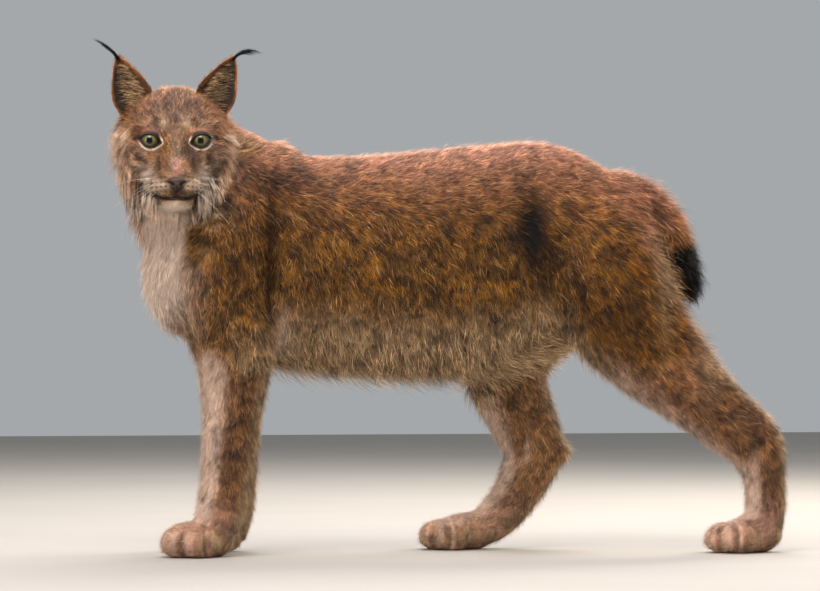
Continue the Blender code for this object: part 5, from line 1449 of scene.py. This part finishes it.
def coat(zone, count, pieces, rings, chance):
    """All the tufts of a zone, in joined meshes. Tufts of one ring are straight. Those of two are bent, and
    longer by a quarter."""
    number = ZONES.index(zone)
    own = skin_triangles[(triangle_zones == number) & ~bare[skin_triangles].any(1)]
    weight = 1 / np.maximum(skin_lengths[own].mean(1), 0.003) ** 0.8
    picked, shares = scatter(own, weight, count, chance)
    roots, normals = at_roots(skin_points, picked, shares), unit(at_roots(skin_normals, picked, shares))
    ways = unit(at_roots(skin_ways, picked, shares))
    lengths = (at_roots(skin_lengths, picked, shares) * chance.uniform(0.70, 1.20, count)
               * (1.25 if rings > 1 else 1.0))
    if zone == "head":
        # Hair is shortest where it meets the bare rims of the lids and lips
        lengths *= 0.40 + 0.60 * step(at_roots(rim_gap, picked, shares), 0.003, 0.013)
    rises = at_roots(skin_rises, picked, shares) * chance.uniform(0.45, 1.40, count)
    size = np.clip(lengths.mean() * 0.36, 0.0025, LOCK_SIZE)
    pulls, locks = lock_pull(roots, size)
    lock_chance = np.random.default_rng(number + 60)
    sway = lock_chance.normal(0, 0.30, locks.max() + 1)[locks] + chance.normal(0, 0.20, count)
    ways = flat_on(ways + np.cross(ways, normals) * sway[:, None], normals)
    lengths *= lock_chance.uniform(0.80, 1.18, locks.max() + 1)[locks]
    pulls = pulls * chance.uniform(0.20, 0.75, count)[:, None]
    widths = (np.clip(lengths * 0.030, 0.00024, 0.00056) * chance.uniform(0.7, 1.3, count)
              * (1.25 if rings == 1 else 1.0))
    marks = markings(roots, normals, at_roots(zone_shares, picked, shares),
                     at_roots(skin_hollow, picked, shares))
    # Ticking: here and there a hair, or a whole lock, is nearly black, or pale to its root
    ticked = np.minimum(chance.random(count), 0.25 + lock_chance.random(locks.max() + 1)[locks])
    paled = np.minimum(chance.random(count), 0.25 + lock_chance.random(locks.max() + 1)[locks])
    amount = 0.60 if zone == "head" else 0.50
    marks[:, TONES.index("dark")] += amount * step(ticked, 0.42, 0.18) * (1 - marks[:, TONES.index("white")])
    marks[:, TONES.index("pale")] += 0.45 * step(paled, 0.42, 0.18)
    marks = marks.clip(0, 1)
    tip_marks = marks.copy()
    tip_marks[:, TONES.index("dark")] *= 0.75
    tip_marks[:, TONES.index("pale")] += TIP_PALE[zone]
    tints = np.clip(0.5 + lock_chance.normal(0, 0.32, locks.max() + 1)[locks]
                    + chance.normal(0, 0.20, count), 0, 1)
    flat = unwrap(roots, COAT_LINES[zone])
    order = np.argsort(np.where(roots[:, 1] > measured[1], 1, 0) * 10 + roots[:, 0], kind="stable")
    kind = "under" if rings == 1 else "over"
    for k, part in enumerate(np.array_split(order, pieces)):
        tuft = tuft_mesh(f"coat_{zone}_{kind}_{k + 1}", roots[part], ways[part], normals[part],
                         lengths[part], widths[part], rises[part], pulls[part], rings, flat[part],
                         marks[part], tip_marks[part].clip(0, 1), tints[part])
        dress(tuft)


for zone, (under, under_pieces, over, over_pieces) in COAT_COUNTS.items():
    coat(zone, under, under_pieces, 1, np.random.default_rng(ZONES.index(zone) + 7))
    if over:
        coat(zone, over, over_pieces, 2, np.random.default_rng(ZONES.index(zone) + 37))

# Ruff.
# Long flat locks that fan from the cheeks and jaw and bend down over each other, banded dark near the face
# and pale at the fringe, and striped black and white under the jaw.
RUFF_COUNT = 7400
RUFF_MIDDLE = np.array((-0.0085, 0.0, -0.030))
RUFF_REACH = 0.105
# The fan's first angle, above the cheek, how far it runs, to under the jaw, and how far its locks drop
RUFF_START, RUFF_RUN = math.radians(40), math.radians(128)
RUFF_DROP = math.radians(22)


def ruff():
    """Locks whose tips lie on a fan round the face: middle + reach (cos(fall), sin(fall)), where fall is the
    root's own angle round the middle, less 22 degrees times its cosine and less 0.08."""
    chance = np.random.default_rng(11)
    local = to_head(skin_points)
    angle = np.arctan2(local[:, 2] - RUFF_MIDDLE[2], np.abs(local[:, 0] - RUFF_MIDDLE[0]))
    share = (RUFF_START - angle) / RUFF_RUN
    front = -0.014 + 0.038 * share
    depth = (front - local[:, 1]) / 0.063
    inside = ((share > 0) & (share < 1) & (depth > 0) & (depth < 1)
              & (zone_shares[:, ZONES.index("head")] > 0.3))
    # On the left, below the jaw, the neck's own hair takes over
    inside &= (share < 0.92) | (local[:, 0] > RUFF_MIDDLE[0])
    own = skin_triangles[inside[skin_triangles].all(1)]
    picked, shares = scatter(own, np.ones(len(own)), RUFF_COUNT, chance)
    roots, normals = at_roots(skin_points, picked, shares), unit(at_roots(skin_normals, picked, shares))
    share, depth = at_roots(share, picked, shares), at_roots(depth, picked, shares).clip(0, 1)
    count = len(roots)
    pulls, locks = lock_pull(roots, 0.0085)
    lock_chance = np.random.default_rng(12)
    lock_turn = lock_chance.normal(0, 0.07, locks.max() + 1)[locks]
    start = to_head(roots)
    side = np.sign(start[:, 0] - RUFF_MIDDLE[0])
    turn = RUFF_START - share * RUFF_RUN
    fall = turn - RUFF_DROP * np.cos(turn) - 0.08 + lock_turn + chance.normal(0, 0.06, count)
    reach = (RUFF_REACH + 0.008 * share) * (0.80 + 0.20 * depth)
    reach *= lock_chance.uniform(0.90, 1.04, locks.max() + 1)[locks]
    # No lock turns back towards the middle of the face
    reach = np.maximum(reach, np.linalg.norm((start - RUFF_MIDDLE)[:, [0, 2]], axis=1) + 0.012)
    tip = RUFF_MIDDLE + np.stack([side * np.cos(fall) * reach, np.zeros(count), np.sin(fall) * reach], 1)
    tip[:, 0] = side * np.maximum(side * tip[:, 0], side * start[:, 0] + 0.002)
    tip[:, 1] = start[:, 1] - 0.014 + 0.010 * (1 - depth) + chance.normal(0, 0.003, count)
    run = (tip - start) @ head_axes
    lengths = np.linalg.norm(run, axis=1).clip(0.012, 0.048)
    rises = np.full(count, 0.18)
    ways = unit(run / lengths[:, None] - rises[:, None] * normals)
    lengths *= chance.uniform(0.65, 1.05, count)
    pulls = pulls * chance.uniform(0.3, 0.9, count)[:, None]
    lock_tone = lock_chance.random(locks.max() + 1)[locks]
    aside = np.abs(start[:, 0] - THROAT_X)
    throat = step(aside, THROAT_HALF + 0.006, THROAT_HALF - 0.010) * step(share, 0.50, 0.62)
    striped = step(share, 0.42, 0.55) * (1 - throat)
    dark_lock = step(lock_tone, 0.50, 0.40)
    band = np.exp(-(((depth - 0.42) / 0.16) ** 2)) * step(share, 0.05, 0.20)
    marks, tip_marks = np.zeros((count, 8)), np.zeros((count, 8))
    marks[:, TONES.index("dark")] = ((0.60 * band + 0.40 * dark_lock) * (1 - striped) * (1 - throat)
                                     + 0.95 * striped * dark_lock)
    marks[:, TONES.index("grey")] = 0.75 * (1 - throat)
    marks[:, TONES.index("pink")] = 0.30 * (1 - striped)
    marks[:, TONES.index("pale")] = 0.35 * (1 - dark_lock) * (1 - throat) + 0.6 * throat
    marks[:, TONES.index("white")] = 0.80 * striped * (1 - dark_lock) + 0.9 * throat
    tip_marks[:, TONES.index("pink")] = 0.40
    tip_marks[:, TONES.index("pale")] = 0.60
    tip_marks[:, TONES.index("dark")] = 0.85 * striped * dark_lock
    tip_marks[:, TONES.index("white")] = (0.80 * (1 - striped * dark_lock)
                                          * step(depth + lock_tone, 0.35, 0.75))
    tip_marks[:, TONES.index("white")] += 0.35 * step(share, 0.50, 0.35) * (depth > 0.5)
    tints = np.clip(0.55 + chance.normal(0, 0.2, count), 0, 1)
    flat = unwrap(roots, COAT_LINES["head"])
    widths = np.full(count, 0.0006) * chance.uniform(0.6, 1.3, count)
    piece = tuft_mesh("ruff", roots, ways, normals, lengths, widths, rises, pulls, 3, flat, marks.clip(0, 1),
                      tip_marks.clip(0, 1), tints)
    dress(piece)


ruff()

# Hair of the ears.
# Pale hairs fan across the cup from its inner edge, short dark hair covers its back, and a brush of long
# black hairs stands on each tip.
# The brush of each tip: how far out its hairs end, how far up, and how much they bow
TUFT_BRUSH = {"left": (0.045, 0.006, 0.90), "right": (0.038, 0.029, 0.38)}


def ear_hair(side, name, t, s, layer, ways, lengths, widths, rises, rings, marks, tints):
    """Hairs rooted on an ear at t and s, whose ways are shares of across, up and out."""
    _, _, up, across, out = ear_axes(side)
    roots = from_head(ear_place(side, t, s, layer))
    axes = np.array([across, up, out]) @ head_axes
    normals = np.tile(axes[2] * (1 if layer == 0 else -1), (len(t), 1))
    flat = np.stack([0.05 + 0.9 * (s + 1) / 2, 0.05 + 0.9 * t], 1)
    piece = tuft_mesh(f"{name}_{side}", roots, unit(ways @ axes), normals, lengths, widths, rises,
                      np.zeros((len(t), 3)), rings, flat, marks, marks, tints)
    dress(piece)


def tone_rows(count, **amounts):
    """Marks with the same or a given share of some tones in each row."""
    rows = np.zeros((count, 8))
    for tone, amount in amounts.items():
        rows[:, TONES.index(tone)] = amount
    return rows.clip(0, 1)


for side in ("left", "right"):
    chance = np.random.default_rng(31 if side == "left" else 32)
    # The edge nearer the middle of the head lies at s = -1 on the left ear and 1 on the right
    sign = -1 if side == "left" else 1
    n = 900
    t = chance.beta(1.4, 1.7, n) * 0.86 + 0.02
    s = sign * (0.74 - 1.05 * chance.random(n) ** 1.4)
    ways = np.stack([-sign * chance.uniform(0.60, 1.0, n), 0.45 + 0.30 * chance.normal(0, 1, n),
                     chance.uniform(0.05, 0.40, n)], 1)
    lengths = 0.022 * (1 - 0.50 * t) * chance.uniform(0.45, 1.1, n)
    pale_hair = chance.random(n)
    ear_hair(side, "ear_fan", t, s, 0, ways, lengths, chance.uniform(0.00018, 0.00036, n),
             chance.uniform(0.05, 0.40, n), 3,
             tone_rows(n, pale=0.8 * (pale_hair > 0.35), dark=0.7 * (pale_hair < 0.22), grey=0.6),
             np.clip(chance.normal(0.45, 0.25, n), 0, 1))
    n = 2000
    t, s = chance.uniform(0.0, 0.98, n), chance.uniform(-1, 1, n)
    ways = np.stack([-0.6 * s, chance.uniform(0.5, 1.0, n), chance.uniform(-0.1, 0.1, n)], 1)
    at_rim = np.maximum(step(s * sign, 0.62, 0.80), step(np.abs(s), 0.88, 0.95))
    at_rim = np.maximum(at_rim, step(t, 0.84, 0.92))
    ear_hair(side, "ear_lining", t, s, 0, ways, chance.uniform(0.003, 0.007, n), np.full(n, 0.0003),
             np.full(n, 0.15), 1,
             tone_rows(n, dark=0.95 * (1 - at_rim), rust=0.8, grey=0.3,
                       black=0.6 * (1 - at_rim) * step(s * sign, 0.3, -0.1)),
             np.clip(chance.normal(0.45, 0.2, n), 0, 1))
    n = 2200
    t, s = chance.uniform(0.0, 0.99, n), chance.uniform(-1, 1, n)
    ways = np.stack([0.35 * s, np.ones(n), chance.uniform(-0.1, 0.1, n)], 1)
    patch = np.exp(-(((t - 0.45) / 0.20) ** 2) - (s / 0.60) ** 2)
    ear_hair(side, "ear_back", t, s, 1, ways, chance.uniform(0.005, 0.009, n), np.full(n, 0.0004),
             np.full(n, 0.15), 1,
             tone_rows(n, dark=0.9 * (1 - patch), grey=patch, pale=0.4 * patch),
             np.clip(chance.normal(0.5, 0.2, n), 0, 1))
    n = 1000
    t = chance.uniform(0.0, 0.99, n)
    s = np.where(chance.random(n) < 0.5, -1.0, 1.0) * chance.uniform(0.93, 1.0, n)
    ways = np.stack([0.08 * s, np.ones(n), chance.uniform(-0.1, 0.25, n)], 1)
    ear_hair(side, "ear_rim", t, s, 0, ways, chance.uniform(0.003, 0.005, n), np.full(n, 0.00032),
             np.full(n, 0.03), 1,
             tone_rows(n, rust=0.9, gold=0.3, dark=0.2), np.clip(chance.normal(0.5, 0.2, n), 0, 1))
    n = 110
    reach, climb, bow = TUFT_BRUSH[side]
    tip = np.array(EAR_TIPS[side])
    spread_at = chance.normal(0, 1, (n, 3)) * (0.0008, 0.0007, 0.0012)
    starts = tip + spread_at - (sign * 0.0012, 0, 0.0022)
    ends = (tip + np.array((sign * reach, -0.004, climb)) * chance.uniform(0.55, 1.0, n)[:, None]
            + spread_at * 0.8)
    normal = np.tile(unit(np.array([(-sign * climb, 0.0, reach)])), (n, 1))
    run = ends - starts
    lengths = np.linalg.norm(run, axis=1)
    ways = run / lengths[:, None] - bow * normal
    piece = tuft_mesh(f"ear_brush_{side}", from_head(starts), ways @ head_axes, normal @ head_axes, lengths,
                      chance.uniform(0.0004, 0.0007, n), np.full(n, bow), np.zeros((n, 3)), 5,
                      np.stack([0.1 + 0.8 * chance.random(n), 0.1 + 0.8 * chance.random(n)], 1),
                      tone_rows(n, black=1.0), tone_rows(n, black=1.0), np.full(n, 0.5))
    dress(piece)

# Whiskers.
# Stiff white hairs in four rows on each pad, and a few above each eye. Each is a single tapered hair, set
# in the skin by its root.
whisker_material, whisker_tree, whisker_output = new_material("whisker, stiff white hair")
whisker_surface = add(whisker_tree, "ShaderNodeBsdfPrincipled",
                      {"Base Color": hex_colour("#F1ECE2"), "Roughness": 0.35, "IOR": 1.55})
whisker_tree.links.new(whisker_surface.outputs[0], whisker_output.inputs[0])


def whisker(root, way, length, droop, radius):
    """Points and faces of a hair along root + length (s way) - droop s^2 up, tapered from its radius to a
    tenth."""
    s = np.linspace(0, 1, 22)
    path = (np.array(root) + length * np.outer(s, way / np.linalg.norm(way))
            - np.outer(droop * s * s, (0, 0, 1)))
    return cord(path, radius * (1 - 0.9 * s), np.array((0.0, 1.0, 0.2)), 5, False)


def whiskers():
    """Every whisker in one mesh."""
    chance = np.random.default_rng(17)
    hairs, total = [], 0
    for sign in (-1, 1):
        for k, (x, z) in enumerate(WHISKER_ROWS):
            # The two roots nearest the nose in each row bear no whisker
            if k % 4 < 2:
                continue
            depth = face_depth(np.array([sign * x]), np.array([z]))[0]
            way = np.array((sign * 1.0, chance.uniform(-0.20, 0.25), 0.05 - 0.24 * (k // 4)
                            + chance.normal(0, 0.12)))
            length = chance.uniform(0.040, 0.085)
            root = (sign * x, depth - 0.001, z)
            hairs.append(whisker(root, way, length, chance.uniform(0.006, 0.022), 0.00022))
        for k in range(2):
            x, z = sign * (0.036 + 0.006 * k), 0.022
            way = np.array((sign * (0.9 + 0.25 * k), 0.30, 0.5 - 0.2 * k))
            root = (x, face_depth(np.array([x]), np.array([z]))[0], z)
            hairs.append(whisker(root, way, 0.030, 0.006, 0.00013))
    points, faces = [], []
    for hair_points, hair_faces in hairs:
        faces.append(hair_faces + total)
        points.append(hair_points)
        total += len(hair_points)
    return outward(make_mesh("whiskers", from_head(np.vstack(points)), np.vstack(faces)))


whisker_piece = whiskers()
whisker_piece.data.materials.append(whisker_material)
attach(whisker_piece, "root")

# Floor, light and camera.
# A pale studio floor under soft light from above, from in front and from behind, seen from the
# photograph's own place through a long lens.
floor = make_mesh("floor", np.array(((-6, -6, 0), (6, -6, 0), (6, 6, 0), (-6, 6, 0)), float),
                  np.array(((0, 1, 2), (0, 2, 3))))
floor_material, floor_tree, floor_output = new_material("matt studio floor")
floor_place = add(floor_tree, "ShaderNodeTexCoord")
floor_grain = add(floor_tree, "ShaderNodeTexNoise", {"Scale": 3.0}, {"Vector": floor_place.outputs["Object"]})
floor_tone = add(floor_tree, "ShaderNodeMix",
                 {"data_type": "RGBA", 6: hex_colour("#95928C"), 7: hex_colour("#9C9994")},
                 {0: floor_grain.outputs[0]})
floor_surface = add(floor_tree, "ShaderNodeBsdfPrincipled", {"Roughness": 0.85},
                    {"Base Color": floor_tone.outputs[2]})
floor_tree.links.new(floor_surface.outputs[0], floor_output.inputs[0])
floor.data.materials.append(floor_material)

world = bpy.data.worlds.new("studio")
bpy.context.scene.world = world
world.use_nodes = True
world.node_tree.nodes["Background"].inputs[0].default_value = hex_colour("#DDE1E4")
world.node_tree.nodes["Background"].inputs[1].default_value = 0.52


def soft_light(name, place, aim, size, power, colour):
    """A square soft box at a place, turned to its aim."""
    light = bpy.data.lights.new(name, "AREA")
    light.size = size
    light.energy = power
    light.color = hex_colour(colour)[:3]
    box = bpy.data.objects.new(name, light)
    box.location = place
    box.rotation_mode = "QUATERNION"
    box.rotation_quaternion = (Vector(aim) - Vector(place)).to_track_quat("-Z", "Y")
    bpy.context.scene.collection.objects.link(box)


soft_light("key", (-1.0, -1.8, 2.9), (0.0, 0.0, 0.35), 1.7, 120, "#FFF3E8")
soft_light("fill", (1.6, -3.0, 1.1), (0.0, 0.0, 0.30), 2.2, 26, "#FFF4EC")
soft_light("front", (-2.9, -1.3, 1.0), (-0.4, 0.0, 0.35), 1.4, 40, "#FFF0EA")
soft_light("top", (0.2, 0.3, 3.2), (0.1, 0.0, 0.50), 2.2, 84, "#F7F2FF")
soft_light("back", (0.6, 2.2, 2.8), (0.0, 0.0, 0.40), 1.8, 98, "#FFF8EE")
soft_light("rim", (2.2, 1.5, 1.5), (0.2, 0.0, 0.35), 1.3, 80, "#FFF0E0")

CAMERA_TURN = math.radians(-10)
CAMERA_HEIGHT, CAMERA_DISTANCE = 0.41, 8.0
# The photograph's width, the height that its middle shows, and how far its middle lies from the animal's
PICTURE_WIDTH, PICTURE_MIDDLE, PICTURE_ASIDE = 1.23, 0.385, -30 * 0.0015
lens = bpy.data.cameras.new("camera")
lens.lens = 234
lens.sensor_width = 36
lens.clip_end = 60
lens.shift_y = (PICTURE_MIDDLE - CAMERA_HEIGHT) / PICTURE_WIDTH
camera = bpy.data.objects.new("camera", lens)
aim = np.array((math.cos(CAMERA_TURN), math.sin(CAMERA_TURN), 0)) * PICTURE_ASIDE
back = np.array((math.sin(CAMERA_TURN), -math.cos(CAMERA_TURN), 0))
place = aim + back * CAMERA_DISTANCE + measured
camera.location = (place[0], place[1], CAMERA_HEIGHT)
camera.rotation_euler = (math.radians(90), 0, CAMERA_TURN)
bpy.context.scene.collection.objects.link(camera)
bpy.context.scene.camera = camera
bpy.context.scene.view_settings.view_transform = "Standard"
